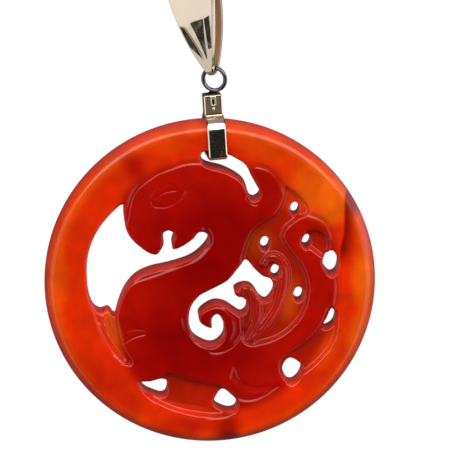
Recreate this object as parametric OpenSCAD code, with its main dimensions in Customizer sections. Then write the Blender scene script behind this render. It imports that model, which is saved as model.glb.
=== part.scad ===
// Round pierced pendant of red jade: a carved stone disc held by a bent gold
// clip, with a jump ring soldered on the clip and a tapered bail above it.
// Lengths are millimetres. X goes to the right, Y goes back from the front
// face, Z goes up. The origin is the inside of the bail's top, where a chain
// bears, and everything hangs from it.

/* [Stone disc] */
// Diameter of the stone disc
disc_d = 45; // [42:0.5:50]
// Thickness of the stone disc
disc_t = 4.6; // [4:0.1:5.6]
// Radius of the rounding on both edges of the rim
rim_round = 1.4; // [0.8:0.1:1.7]
// Width of the plain ring at its left and right
ring_side_w = 5.65; // [5:0.05:6.5]
// Width of the plain ring at its top and bottom
ring_end_w = 3.95; // [3.4:0.05:4.6]
// How far the disc hangs to the left of the jump ring
disc_side = 0.6; // [0:0.1:1.2]

/* [Carving] */
// Depth of the carved ground below the front face
ground_cut = 0.9; // [0.5:0.05:1.3]
// How far the strands on the ground lie below the front face
strand_drop = 0.25; // [0.1:0.05:0.4]
// Greatest width of the strands
strand_w = 1.2; // [0.9:0.05:1.4]
// Depth of the engraved lines
line_cut = 0.3; // [0.15:0.05:0.5]
// Width of the engraved lines
line_w = 0.5; // [0.3:0.05:0.7]
// Width of the little drilled holes
drill_d = 1.3; // [1:0.05:1.6]
// How much taller than wide the drilled holes are sawn
drill_saw = 0.75; // [0:0.05:1]

/* [Clip] */
// Width of the strap
strap_w = 2.5; // [2:0.1:3]
// Thickness of the strap
strap_t = 0.5; // [0.35:0.05:0.6]
// Clearance between the strap and the stone
stone_gap = 0.2; // [0.15:0.05:0.3]
// Outer radius of the strap's two bends below the stone's ring
strap_bend = 0.8; // [0.65:0.05:0.9]
// How far the strap's seat lies below the top of the carved field
seat_inset = 0.65; // [0.1:0.05:0.8]
// Height of the closed box above the stone
box_h = 2.7; // [2.2:0.1:3.5]
// Depth of the closed box from front to back
box_d = 2.3; // [2:0.1:3]
// Width of the frame round the window in the front of the box
frame_w = 0.18; // [0.12:0.02:0.3]
// Depth of the window in the front of the box
window_cut = 0.2; // [0.1:0.05:0.3]
// Width of the folded tongue
tongue_w = 0.85; // [0.6:0.05:1.1]
// Length of the folded tongue
tongue_l = 1.45; // [1:0.05:1.7]
// Thickness of the folded tongue
tongue_t = 0.28; // [0.2:0.02:0.4]
// Width of the slot in the tongue
tongue_slot_w = 0.3; // [0.2:0.02:0.4]
// Diameter of the stud below the tongue
stud_d = 0.42; // [0.3:0.02:0.5]
// How far the clip sits to the left of the ring's centre
clip_side = 0.45; // [0:0.05:0.6]
// Angle by which the clip faces to the right
clip_turn = 5; // [0:1:8]
// Angle by which the clip's foot swings to the right
clip_lean = 3.5; // [0:0.5:8]

/* [Jump ring] */
// Outer diameter of the jump ring
ring_od = 3.65; // [3.4:0.05:4.4]
// Diameter of the ring's wire
ring_wire = 0.55; // [0.45:0.05:0.6]
// Height of the solder between the ring and the box
solder_h = 0.2; // [0.15:0.05:0.5]
// Width of the solder along the box
solder_w = 1.7; // [1.2:0.1:2]
// Depth of the solder from front to back
solder_d = 1.1; // [0.8:0.1:1.4]
// Angle by which the ring faces to the left
ring_turn = 20; // [14:1:26]

/* [Bail] */
// Height of the bail
bail_h = 12.5; // [10:0.5:16]
// Thickness of the bail's wall
bail_t = 0.42; // [0.34:0.02:0.5]
// Inner radius of the fold that the ring hangs in
fold_r = 0.6; // [0.55:0.05:0.8]
// Outer radius of the bail's round top
crown_r = 1.3; // [1.1:0.05:1.8]
// Radius of the bow of its two leaves, seen from the side
leaf_bow = 30; // [15:0.5:40]
// Width of the bail at its top
bail_top_w = 7.3; // [6:0.1:8]
// Radius of the bow of its two sides, seen from the front
side_bow = 50; // [40:1:90]
// Radius of the bail's round tip, seen from the front
tip_r = 0.5; // [0.4:0.05:0.6]
// Angle by which the bail faces to the left
bail_turn = 25; // [18:1:30]
// Angle by which the bail's foot swings to the right
bail_lean = 13; // [0:0.5:18]

/* [Hidden] */

// Steps of a spline between two rows of a table
spline_n = 3;
// Steps of a spline in the shallow relief
relief_n = 2;
// How far a cutter reaches past the face that it starts from
over = 1;

disc_r = disc_d / 2;
field_rx = disc_r - ring_side_w;
field_rz = disc_r - ring_end_w;

ring_r = (ring_od - ring_wire) / 2;

// Centres of the bail's fold and crown, measured from its tip
fold_out = fold_r + bail_t;
fold_z = fold_out;
crown_z = bail_h - crown_r;
// Distance from the chain's seat down to the fold's centre
fold_drop = bail_h - bail_t - fold_z;
fold_pos = fold_drop * [sin(bail_lean), 0, -cos(bail_lean)];

// The fold holds the ring's wire where the two lean alike
ring_pos = fold_pos
    + ring_r * [sin(bail_lean) * cos(ring_turn), -sin(bail_lean) * sin(ring_turn), -cos(bail_lean)];
box_top = -ring_od / 2 - solder_h;
disc_drop = -box_top + box_h + strap_t + stone_gap + disc_r;
disc_pos = ring_pos - [disc_side, 0, disc_drop];

// Heights in the clip's own frame, whose origin is the ring's centre
rim_centre_z = -disc_drop + disc_r - rim_round;
seat_z = -disc_drop + field_rz - seat_inset;
strap_foot = seat_z - stone_gap - strap_t;

// The openings of the carving. Each row is a point of the outline:
// [share of the field's half width, share of its half height].
crescent_gap = [
    [-0.700, 0.600], [-0.780, 0.550], [-0.880, 0.445], [-0.950, 0.330],
    [-0.990, 0.200], [-0.995, 0.060], [-0.980, -0.085], [-0.945, -0.180],
    [-0.885, -0.220], [-0.820, -0.205], [-0.770, -0.255], [-0.740, -0.165],
    [-0.685, -0.050], [-0.600, 0.040], [-0.480, 0.092], [-0.340, 0.120],
    [-0.180, 0.165], [-0.085, 0.222], [-0.020, 0.295], [-0.015, 0.350],
    [-0.050, 0.385], [-0.100, 0.380], [-0.140, 0.335], [-0.210, 0.290],
    [-0.298, 0.258], [-0.305, 0.305], [-0.285, 0.365], [-0.330, 0.400],
    [-0.380, 0.380], [-0.375, 0.310], [-0.400, 0.255], [-0.440, 0.220],
    [-0.515, 0.245], [-0.620, 0.325], [-0.675, 0.405], [-0.695, 0.500]
];
curl_gap = [
    [0.285, 0.170], [0.355, 0.100], [0.425, 0.042], [0.490, 0.018],
    [0.515, -0.065], [0.490, -0.120], [0.450, -0.155], [0.400, -0.130],
    [0.355, -0.065], [0.308, -0.035], [0.250, -0.037], [0.195, -0.065],
    [0.210, -0.095], [0.285, -0.135], [0.295, -0.210], [0.250, -0.250],
    [0.185, -0.215], [0.115, -0.175], [0.030, -0.165], [-0.055, -0.205],
    [-0.095, -0.250], [-0.080, -0.295], [-0.035, -0.325], [0.010, -0.333],
    [0.010, -0.265], [0.055, -0.230], [0.100, -0.285], [0.113, -0.395],
    [0.065, -0.460], [0.005, -0.482], [-0.065, -0.462], [-0.145, -0.405],
    [-0.175, -0.290], [-0.160, -0.178], [-0.090, -0.092], [0.025, -0.037],
    [0.140, 0.022], [0.220, 0.110]
];
top_gap = [
    [-0.060, 0.985], [-0.010, 0.990], [0.060, 0.985], [0.135, 0.967],
    [0.205, 0.935], [0.282, 0.885], [0.335, 0.790], [0.403, 0.670],
    [0.365, 0.617], [0.317, 0.630], [0.282, 0.725], [0.220, 0.785],
    [0.100, 0.843], [-0.010, 0.870], [-0.060, 0.895], [-0.080, 0.945]
];
drop_gap = [
    [0.990, 0.235], [1.030, 0.160], [1.020, 0.075], [0.970, 0.045],
    [0.920, 0.095], [0.905, 0.170], [0.945, 0.225]
];
sickle_gap = [
    [0.985, -0.205], [1.012, -0.245], [1.003, -0.315], [0.960, -0.355],
    [0.915, -0.362], [0.908, -0.335], [0.940, -0.278], [0.965, -0.225]
];
hip_gap = [
    [0.645, -0.575], [0.740, -0.635], [0.720, -0.725], [0.660, -0.770],
    [0.612, -0.745], [0.582, -0.645]
];
hoof_gap = [
    [0.100, -0.805], [0.162, -0.845], [0.212, -0.895], [0.205, -0.965],
    [0.130, -0.980], [0.028, -0.925], [0.052, -0.845]
];
belly_gap = [
    [-0.580, -0.745], [-0.490, -0.745], [-0.400, -0.725], [-0.350, -0.745],
    [-0.353, -0.835], [-0.395, -0.862], [-0.465, -0.842], [-0.530, -0.812]
];
GAPS = [crescent_gap, curl_gap, top_gap, drop_gap, sickle_gap, hip_gap, hoof_gap, belly_gap];

// The drilled holes: [share of half width, share of half height, share of the drill's width]
HOLES = [
    [0.680, 0.545, 0.95], [0.440, 0.287, 1], [0.772, 0.305, 0.95],
    [0.525, 0.078, 1], [0.712, -0.098, 1.04]
];

// Where the ground is cut back: points as in the openings
neck_ground = [
    [0.600, 0.730], [0.655, 0.700], [0.730, 0.645], [0.785, 0.580], [0.800, 0.515],
    [0.715, 0.480], [0.625, 0.420], [0.585, 0.345], [0.645, 0.250], [0.740, 0.140],
    [0.790, 0.025], [0.795, -0.115], [0.740, -0.250], [0.645, -0.355], [0.530, -0.425],
    [0.420, -0.455], [0.315, -0.470], [0.250, -0.420], [0.245, -0.295], [0.225, -0.175],
    [0.245, -0.040], [0.260, 0.095], [0.250, 0.195], [0.285, 0.300], [0.325, 0.380],
    [0.380, 0.430], [0.445, 0.470], [0.510, 0.510], [0.565, 0.580], [0.590, 0.655]
];
shoulder_ground = [
    [-0.955, -0.115], [-0.860, -0.100], [-0.775, -0.145], [-0.755, -0.245],
    [-0.730, -0.380], [-0.680, -0.510], [-0.625, -0.590], [-0.670, -0.610],
    [-0.770, -0.530], [-0.850, -0.425], [-0.905, -0.300], [-0.940, -0.200]
];
belly_ground = [
    [-0.580, -0.740], [-0.485, -0.725], [-0.405, -0.700], [-0.340, -0.665],
    [-0.245, -0.695], [-0.120, -0.730], [0.000, -0.755], [0.095, -0.770],
    [0.180, -0.830], [0.225, -0.900], [0.195, -0.975], [0.080, -1.010],
    [-0.080, -1.000], [-0.245, -0.970], [-0.380, -0.920], [-0.485, -0.870],
    [-0.550, -0.810]
];
hip_ground = [
    [0.970, -0.175], [1.030, -0.220], [1.030, -0.340], [0.995, -0.455],
    [0.930, -0.545], [0.840, -0.630], [0.755, -0.690], [0.665, -0.735],
    [0.590, -0.720], [0.555, -0.650], [0.575, -0.575], [0.640, -0.525],
    [0.720, -0.475], [0.815, -0.405], [0.890, -0.320], [0.930, -0.235]
];
tail_ground = [
    [0.735, 0.300], [0.775, 0.390], [0.865, 0.395], [0.940, 0.345],
    [0.965, 0.270], [0.915, 0.185], [0.835, 0.230], [0.770, 0.275]
];
GROUNDS = [neck_ground, shoulder_ground, belly_ground, hip_ground, tail_ground];

// The raised strands: [share of half width, share of half height, share of strand_w]
curl_strand = [
    [0.430, 0.135, 0.35], [0.485, 0.190, 0.60], [0.545, 0.175, 0.80], [0.590, 0.100, 0.95],
    [0.595, 0.000, 1.00], [0.570, -0.110, 0.95], [0.520, -0.220, 0.85],
    [0.445, -0.320, 0.75], [0.335, -0.430, 0.60]
];
hook_strand = [
    [0.345, -0.040, 0.60], [0.380, -0.130, 0.80], [0.385, -0.240, 0.90],
    [0.350, -0.335, 0.80], [0.290, -0.430, 0.60]
];
shoulder_strand = [
    [-0.890, -0.210, 0.40], [-0.860, -0.345, 0.45], [-0.790, -0.475, 0.45], [-0.690, -0.590, 0.30]
];
STRANDS = [curl_strand, hook_strand, shoulder_strand];

// The engraved lines: [share of half width, share of half height, share of line_w]
LINES = [
    // round the back of the head
    [[-0.690, 0.600, 0.6], [-0.655, 0.685, 1], [-0.575, 0.760, 1], [-0.485, 0.810, 1],
     [-0.390, 0.860, 1], [-0.275, 0.900, 1], [-0.160, 0.920, 1], [-0.055, 0.930, 0.6]],
    // round the ear
    [[0.315, 0.870, 0.6], [0.380, 0.885, 1], [0.455, 0.870, 1], [0.525, 0.825, 1],
     [0.575, 0.760, 1], [0.605, 0.685, 1]],
    // under and over the eye
    [[-0.480, 0.620, 0.4], [-0.420, 0.565, 0.8], [-0.350, 0.560, 0.8], [-0.275, 0.595, 0.8],
     [-0.210, 0.650, 0.8], [-0.190, 0.705, 0.4]],
    [[-0.460, 0.640, 0.4], [-0.415, 0.675, 0.8], [-0.345, 0.695, 0.8], [-0.255, 0.705, 0.4]],
    // outside the tail's curl and down its right side
    [[0.790, 0.520, 0.6], [0.875, 0.500, 1], [0.945, 0.450, 1], [0.990, 0.365, 1], [1.000, 0.240, 0.6]],
    [[0.975, 0.080, 0.6], [1.015, 0.000, 1], [1.015, -0.100, 1], [0.985, -0.185, 0.6]],
    // round the bottom of the curled opening
    [[-0.220, -0.220, 0.4], [-0.210, -0.300, 0.8], [-0.160, -0.385, 0.8], [-0.080, -0.460, 0.8],
     [0.015, -0.505, 0.8], [0.095, -0.480, 0.4]],
    [[-0.025, -0.560, 0.4], [0.080, -0.560, 0.8], [0.170, -0.510, 0.8], [0.240, -0.430, 0.4]],
    // knee, hoof and the ring's edge below the hoof
    [[-0.710, -0.435, 0.4], [-0.645, -0.390, 1], [-0.565, -0.370, 1], [-0.500, -0.360, 0.4]],
    [[0.185, -0.615, 0.4], [0.170, -0.700, 1], [0.210, -0.740, 1], [0.305, -0.780, 1],
     [0.420, -0.780, 1], [0.525, -0.750, 0.6]],
    [[0.200, -0.865, 0.6], [0.305, -0.885, 1], [0.420, -0.865, 1], [0.525, -0.810, 1], [0.600, -0.740, 0.6]]
];

// Points on an arc from angle a0 to a1
function arc(c, r, a0, a1, n) =
    [for (i = [0:n]) c + r * [cos(a0 + (a1 - a0) * i / n), sin(a0 + (a1 - a0) * i / n)]];

// Points on an arc of radius r from a to b, bowed to the right of the way there
function bowed(a, b, r, n) =
    let (d = b - a,
         c = (a + b) / 2 + sqrt(r * r - d * d / 4) * [-d.y, d.x] / norm(d))
    arc(c, r, atan2(a.y - c.y, a.x - c.x), atan2(b.y - c.y, b.x - c.x), n);

// The same points on the other side of the vertical axis, in reverse order
function mirrored(pts) = [for (i = [len(pts) - 1:-1:0]) [-pts[i].x, pts[i].y]];

// A point of a smooth curve from b to c, with its neighbours a and d
function smooth(a, b, c, d, t) =
    0.5 * (2 * b + (c - a) * t + (2 * a - 5 * b + 4 * c - d) * t * t
           + (3 * b - a - 3 * c + d) * t * t * t);

// A closed smooth curve through the rows
function loop_curve(rows, n) =
    let (m = len(rows))
    [for (i = [0:m - 1], k = [0:n - 1])
        smooth(rows[(i + m - 1) % m], rows[i], rows[(i + 1) % m], rows[(i + 2) % m], k / n)];

// An open smooth curve through the rows
function line_curve(rows, n) =
    let (m = len(rows))
    concat([for (i = [0:m - 2], k = [0:n - 1])
        smooth(rows[max(i - 1, 0)], rows[i], rows[i + 1], rows[min(i + 2, m - 1)], k / n)],
        [rows[m - 1]]);

// Shares of the carved field made lengths
function on_field(rows) = [for (r = rows) [r.x * field_rx, r.y * field_rz]];

// Outline of a band along rows of [x, z, share of width]
function band_outline(rows, width, n) =
    let (p = line_curve([for (r = rows) [r.x * field_rx, r.y * field_rz, r.z * width / 2]], n),
         last = len(p) - 1,
         side = [for (i = [0:last])
             let (d = p[min(i + 1, last)] - p[max(i - 1, 0)], l = norm([d.x, d.y]))
             [-d.y, d.x] / l * p[i].z])
    concat([for (i = [0:last]) [p[i].x, p[i].y] + side[i]],
           [for (i = [last:-1:0]) [p[i].x, p[i].y] - side[i]]);

// A prism of an outline in the disc's plane, through the whole stone
module through(outline)
    rotate([90, 0, 0]) linear_extrude(disc_t + 2 * over, center = true) polygon(outline);

// The same prism from the front face down to a depth
module front_cut(outline, depth)
    translate([0, -disc_t / 2 + depth, 0])
        rotate([90, 0, 0]) linear_extrude(depth + over) polygon(outline);

// Half of the disc's section, seen along the rim
module disc_section() {
    half = disc_t / 2;
    polygon(concat(
        [[0, -half]],
        arc([disc_r - rim_round, -half + rim_round], rim_round, -90, 0, 6),
        arc([disc_r - rim_round, half - rim_round], rim_round, 0, 90, 6),
        [[0, half]]));
}

module drilled_holes()
    for (h = HOLES)
        through([for (a = [0:15:345])
            [h.x * field_rx + h.z * drill_d / 2 * cos(a),
             h.y * field_rz + h.z * (drill_d + drill_saw) / 2 * sin(a)]]);

module ground_cuts()
    difference() {
        for (g = GROUNDS)
            front_cut(on_field(loop_curve(g, relief_n)), ground_cut);
        for (s = STRANDS)
            front_cut(band_outline(s, strand_w, relief_n), ground_cut + over / 2);
    }

module line_cuts()
    for (l = LINES)
        front_cut(band_outline(l, line_w, relief_n), line_cut);

module strand_tops()
    for (s = STRANDS)
        front_cut(band_outline(s, strand_w, relief_n), strand_drop);

// The clip's own frame: its origin is the centre of the jump ring
module clip_frame()
    translate(ring_pos - [clip_side, 0, 0])
        rotate([0, -clip_lean, 0]) rotate([0, 0, clip_turn]) children();

// Room for the strap through the stone
module strap_room()
    clip_frame()
        translate([-strap_w / 2 - stone_gap, -disc_t, strap_foot - stone_gap])
            cube([strap_w + 2 * stone_gap, 2 * disc_t, seat_z - strap_foot + stone_gap]);

module jade_disc()
    color("orangered") difference() {
        translate(disc_pos) difference() {
            rotate([90, 0, 0]) rotate_extrude($fn = 144) disc_section();
            for (g = GAPS)
                through(on_field(loop_curve(g, spline_n)));
            drilled_holes();
            ground_cuts();
            strand_tops();
            line_cuts();
        }
        strap_room();
    }

// Section of the strap from the side, drawn inwards by off from its outer face
function strap_outline(off) =
    let (leaf_y = disc_t / 2 + stone_gap + strap_t,
         rim_y = disc_t / 2 - rim_round,
         rim_r = rim_round + stone_gap + strap_t - off,
         box_y = box_d / 2 - off,
         half = concat(
             arc([leaf_y - strap_bend, strap_foot + strap_bend], strap_bend - off, -90, 0, 6),
             arc([rim_y, rim_centre_z], rim_r, 0, acos((box_y - rim_y) / rim_r), 8),
             [[box_y, box_top - off]]))
    concat(half, mirrored(half));

module strap_prism(off, width)
    rotate([90, 0, 90]) linear_extrude(width, center = true) polygon(strap_outline(off));

module box_front() {
    tongue_z = box_top - tongue_l;
    front_y = -box_d / 2 + window_cut;
    difference() {
        translate([-tongue_w / 2, front_y - tongue_t, tongue_z])
            cube([tongue_w, tongue_t + strap_t / 4, tongue_l - strap_t / 4]);
        translate([-tongue_slot_w / 2, front_y - tongue_t - over, tongue_z + tongue_slot_w / 2])
            cube([tongue_slot_w, tongue_t + over, tongue_l / 2]);
    }
    translate([0, front_y + strap_t / 4, tongue_z - stud_d])
        rotate([90, 0, 0]) cylinder(h = tongue_t + strap_t / 4, d = stud_d, $fn = 32);
}

module jump_ring()
    rotate([0, 0, -ring_turn]) rotate([90, 0, 0])
        rotate_extrude($fn = 64) translate([ring_r, 0]) circle(d = ring_wire, $fn = 32);

module clip_band()
    color("goldenrod") {
        clip_frame() {
            difference() {
                strap_prism(0, strap_w);
                strap_prism(strap_t, strap_w + over);
                translate([0, -box_d / 2, box_top - box_h / 2])
                    cube([strap_w - 2 * frame_w, 2 * window_cut, box_h - 2 * frame_w], center = true);
            }
            box_front();
            translate([-solder_w / 2, -solder_d / 2, box_top - strap_t / 4])
                cube([solder_w, solder_d, solder_h + strap_t / 4 + ring_wire / 2]);
        }
        translate(ring_pos) jump_ring();
    }

// Section of the bail's loop from the side, drawn inwards by off. Its tip is at
// zero. The fold and the crown are arcs, joined by the two bowed leaves.
function bail_outline(off) =
    let (span = crown_z - fold_z,
         bow_z = fold_z + span / 2
             + (crown_r - fold_out) * (2 * leaf_bow - crown_r - fold_out) / (2 * span),
         bow_y = sqrt(pow(leaf_bow - fold_out, 2) - pow(bow_z - fold_z, 2)),
         low = atan2(fold_z - bow_z, bow_y),
         high = atan2(crown_z - bow_z, bow_y),
         half = concat(
             arc([0, fold_z], fold_out - off, -90, low, 8),
             arc([-bow_y, bow_z], leaf_bow - off, low, high, 12),
             arc([0, crown_z], crown_r - off, high, 90, 8)))
    concat(half, mirrored(half));

module bail_prism(off, width)
    rotate([90, 0, 90]) linear_extrude(width, center = true) polygon(bail_outline(off));

// Front view of the bail: a round tip that widens to the top with bowed sides
module bail_front() {
    tip = arc([0, tip_r], tip_r, -90, -20, 6);
    half = concat(tip, bowed(tip[len(tip) - 1], [bail_top_w / 2, bail_h + over], side_bow, 12));
    rotate([90, 0, 0]) linear_extrude(4 * crown_r, center = true) polygon(concat(half, mirrored(half)));
}

module bail()
    color("gold")
        rotate([0, -bail_lean, 0]) rotate([0, 0, -bail_turn]) translate([0, 0, bail_t - bail_h])
            intersection() {
                difference() {
                    bail_prism(0, bail_top_w + over);
                    bail_prism(bail_t, bail_top_w + 2 * over);
                }
                bail_front();
            }

jade_disc();
clip_band();
bail();
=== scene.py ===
"""A red jade pendant on its gold clip, jump ring and bail, in plain studio light.

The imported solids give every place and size. The stone, the clip, the ring and the bail are
made anew as fine surfaces that stand where those solids stand. Lengths are millimetres until
a mesh is made, and points are rows of x, y and z: x to the right, y back from the carved
front, z up.
"""
import math

import bpy
import numpy as np
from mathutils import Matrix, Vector


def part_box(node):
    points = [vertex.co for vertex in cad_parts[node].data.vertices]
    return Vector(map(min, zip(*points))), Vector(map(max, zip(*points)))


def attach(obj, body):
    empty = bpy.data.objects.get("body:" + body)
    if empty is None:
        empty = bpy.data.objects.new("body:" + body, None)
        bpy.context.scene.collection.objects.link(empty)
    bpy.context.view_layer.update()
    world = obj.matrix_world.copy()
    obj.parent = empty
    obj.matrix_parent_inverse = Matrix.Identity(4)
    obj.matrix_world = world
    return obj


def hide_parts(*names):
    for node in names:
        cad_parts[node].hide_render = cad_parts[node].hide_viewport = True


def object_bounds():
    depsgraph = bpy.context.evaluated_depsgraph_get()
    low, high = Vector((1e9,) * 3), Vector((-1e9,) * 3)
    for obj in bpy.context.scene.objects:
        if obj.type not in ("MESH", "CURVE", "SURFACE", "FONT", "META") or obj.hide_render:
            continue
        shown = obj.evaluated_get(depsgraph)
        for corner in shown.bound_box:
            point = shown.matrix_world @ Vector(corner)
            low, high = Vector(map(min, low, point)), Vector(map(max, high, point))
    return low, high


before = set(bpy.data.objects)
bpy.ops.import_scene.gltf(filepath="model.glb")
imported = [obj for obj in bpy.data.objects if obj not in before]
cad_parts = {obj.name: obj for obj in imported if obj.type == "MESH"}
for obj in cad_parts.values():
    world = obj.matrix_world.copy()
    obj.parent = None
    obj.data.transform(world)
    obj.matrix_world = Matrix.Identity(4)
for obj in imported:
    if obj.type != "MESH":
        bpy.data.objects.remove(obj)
cad_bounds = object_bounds()

MM = 0.001
STONE, CLIP, BAIL = "jade_disc", "clip_band", "bail"

# The camera: where it stands round the pendant and how much it sees
VIEW_TURN = -2.7
VIEW_RISE = 13.0
VIEW_DISTANCE = 800.0
VIEW_WIDTH = 61.2
# Nothing farther from the camera than this is seen
VIEW_END = 20000.0
# The picture's centre from the disc's centre: to the right and up, as the camera sees them
VIEW_RIGHT = 2.055
VIEW_UP = 7.51

# The stone, as in the solid
RING_SIDE = 5.65
RING_END = 3.95
GROUND_CUT = 0.9
STRAND_DROP = 0.25
RIM_ROUND = 1.4
# The polished rim ends in a crease this far from the edge
RIM_CREST = 1.1
# How far the polish has rounded the crest, to either side of it
CREST_SOFT = 0.5

# The hanging metal, as in the solid
RING_OD = 3.65
RING_WIRE = 0.55
RING_TURN = 20.0
SOLDER_H = 0.2
SOLDER_W = 1.7
SOLDER_D = 1.1
BAIL_H = 12.5
BAIL_T = 0.42
FOLD_R = 0.6
CROWN_R = 1.3
LEAF_BOW = 30.0
BAIL_TOP_W = 7.3
SIDE_BOW = 50.0
TIP_R = 0.5
BAIL_TURN = 25.0
BAIL_LEAN = 13.0
CLIP_SIDE = 0.45
CLIP_TURN = 5.0
CLIP_LEAN = 3.5
STRAP_W = 2.5
STRAP_T = 0.5
STRAP_BEND = 0.8
STONE_GAP = 0.2
SEAT_INSET = 0.65
BOX_H = 2.7
BOX_D = 2.3
FRAME_W = 0.18
WINDOW_CUT = 0.2
TONGUE_W = 0.85
TONGUE_L = 1.45
TONGUE_T = 0.28
TONGUE_SLOT_W = 0.3
STUD_D = 0.42

# Colours, as sRGB hex values. Some of them paint light or shade, as their notes say
CARNELIAN = "DE2C03"
AMBER = "EC6A0C"
BLOOD = "A80602"
OXBLOOD = "8A0100"
SMOKE = "6E0E16"
# Partly the matt sawn stone, partly a painted sheen: the room reflected in the walls and down the rim
DUST_AND_SHEEN_ROSE = "A03A34"
# A painted glow: the lighter red of thin stone and of walls that light shines through
PAINTED_GLOW_RED = "EA3A20"
ROSE_GOLD = "EDDCC6"
WARM_GOLD = "F0D2AE"
DARK_GOLD = "8E7C6C"
RHODIUM = "6B6A6D"
# The solder's own fire stain, and painted shade in the tongue's slot
OXIDE_AND_SHADE_BLACK = "2A2625"
# Painted shade: the floor's grey as the pendant sees it
SHADED_FLOOR = "7A7A7A"


def linear(colour):
    """An sRGB hex value as linear red, green, blue and alpha."""
    srgb = np.array([int(colour[i:i + 2], 16) / 255 for i in (0, 2, 4)])
    low = srgb / 12.92
    high = ((srgb + 0.055) / 1.055) ** 2.4
    return (*np.where(srgb <= 0.04045, low, high), 1.0)


def smoothstep(value, start, end):
    """Zero before start, one after end, and an S shaped rise between them: 3 t squared minus 2 t cubed."""
    t = np.clip((value - start) / (end - start), 0, 1)
    return t * t * (3 - 2 * t)


def add_node(tree, kind, links=None, **settings):
    """Adds a node, sets its attributes and its inputs by name, and links the inputs that are sockets."""
    node = tree.nodes.new(kind)
    for key, value in settings.items():
        setattr(node, key, value)
    for key, value in (links or {}).items():
        if isinstance(value, bpy.types.NodeSocket):
            tree.links.new(value, node.inputs[key])
        else:
            node.inputs[key].default_value = value
    return node


def new_material(name):
    """An empty node material and its tree."""
    material = bpy.data.materials.new(name)
    material.use_nodes = True
    material.node_tree.nodes.clear()
    return material, material.node_tree


def finish_material(tree, shader):
    """Links the last shader to the material's output."""
    add_node(tree, "ShaderNodeOutputMaterial", {"Surface": shader.outputs["BSDF"]})


def polished_carnelian():
    """Red jade, or carnelian: a translucent quartz stone, sawn, carved and tumbled to a wet polish.

    Light goes a millimetre or two into it, so it looks lit from within and its thin places turn
    orange: that glow is painted into its tint. Its colour lies in soft clouds. Where the mop can't
    reach, as in the ground and on the walls, and down the rim, it is duller, and a dusty rose is
    mixed in that is partly the matt sawn stone and partly a painted sheen of the room.
    """
    material, tree = new_material("polished_carnelian")
    place = add_node(tree, "ShaderNodeTexCoord").outputs["Object"]
    tint = add_node(tree, "ShaderNodeAttribute", attribute_name="tint").outputs["Color"]
    sawn = add_node(tree, "ShaderNodeAttribute", attribute_name="sawn").outputs["Fac"]
    # Clouds of 4 mm, and fibres of 1 mm in them
    clouds = add_node(tree, "ShaderNodeTexNoise", {
        "Vector": place, "Scale": 1 / (4.0 * MM), "Detail": 5.0, "Roughness": 0.55, "Distortion": 0.6})
    spread = add_node(tree, "ShaderNodeMapRange", {
        "Value": clouds.outputs["Fac"], "From Min": 0.36, "From Max": 0.68, "To Min": 0.86, "To Max": 1.14})
    cloudy = add_node(tree, "ShaderNodeVectorMath", {0: tint, "Scale": spread.outputs["Result"]},
                      operation="SCALE")
    # Partly painted sheen: where it is sawn, a dusty rose is mixed in, partly the matt stone and partly the
    # room's reflection
    dust_and_sheen = add_node(tree, "ShaderNodeMapRange", {"Value": sawn, "From Min": 0.3, "To Max": 0.5}).outputs[0]
    rose = add_node(tree, "ShaderNodeMix", {
        "Factor": dust_and_sheen, 6: cloudy.outputs["Vector"], 7: linear(DUST_AND_SHEEN_ROSE)}, data_type="RGBA")
    rough = add_node(tree, "ShaderNodeMapRange", {"Value": sawn, "To Min": 0.14, "To Max": 0.60})
    # The polish leaves waves of 0.9 mm, a few microns deep
    waves = add_node(tree, "ShaderNodeTexNoise", {"Vector": place, "Scale": 1 / (0.9 * MM), "Detail": 2.0})
    bump = add_node(tree, "ShaderNodeBump", {
        "Height": waves.outputs["Fac"], "Strength": 0.25, "Distance": 0.03 * MM})
    shader = add_node(tree, "ShaderNodeBsdfPrincipled", {
        "Base Color": rose.outputs[2], "Roughness": rough.outputs["Result"], "IOR": 1.54,
        "Specular IOR Level": 0.4, "Subsurface Weight": 0.3, "Subsurface Scale": 0.9 * MM,
        "Subsurface Radius": (1.0, 0.18, 0.06), "Normal": bump.outputs["Normal"]})
    finish_material(tree, shader)
    return material


# The metals: [colour, roughness where it is smoothest, strength of its grain]
METALS = {
    # 14 carat rose gold, cast and brought to a mirror on a felt mop: it shows the room sharply
    "polished_rose_gold": [ROSE_GOLD, 0.10, 0.10],
    # The same gold inside the bail, where no mop gets in: a warm glow without a mirror image
    "satin_gold_inside": [WARM_GOLD, 0.50, 0.8],
    # Rhodium plate on the ring: a hard, bright skin that looks dark grey in a dark room
    "rhodium_plated_ring": [RHODIUM, 0.10, 0.08],
    # Rolled strip, bent and polished last: the clearest mirror of the piece
    "polished_rose_gold_strap": [ROSE_GOLD, 0.08, 0.06],
    # The window's sunk floor, brushed and toned down by tarnish: even and brown
    "satin_gold_window": [DARK_GOLD, 0.42, 0.4],
    # The folded tongue and the stud, rubbed by handling: their light spots are broad
    "worn_rose_gold_tongue": [ROSE_GOLD, 0.30, 0.2],
    "worn_rose_gold_stud": [ROSE_GOLD, 0.35, 0.2],
    # Painted shade: a blackish floor that closes the tongue's slot, where the slot lies in shade
    "painted_shade_in_the_slot": [OXIDE_AND_SHADE_BLACK, 0.60, 0.2],
    # Silver solder, left dark by the torch: a soft, blackish gloss
    "silver_solder": [OXIDE_AND_SHADE_BLACK, 0.28, 0.3],
}
# How much rougher than its smoothest places a metal gets where hairlines lie thick
HAIRLINE_ROUGH = 0.12


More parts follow.
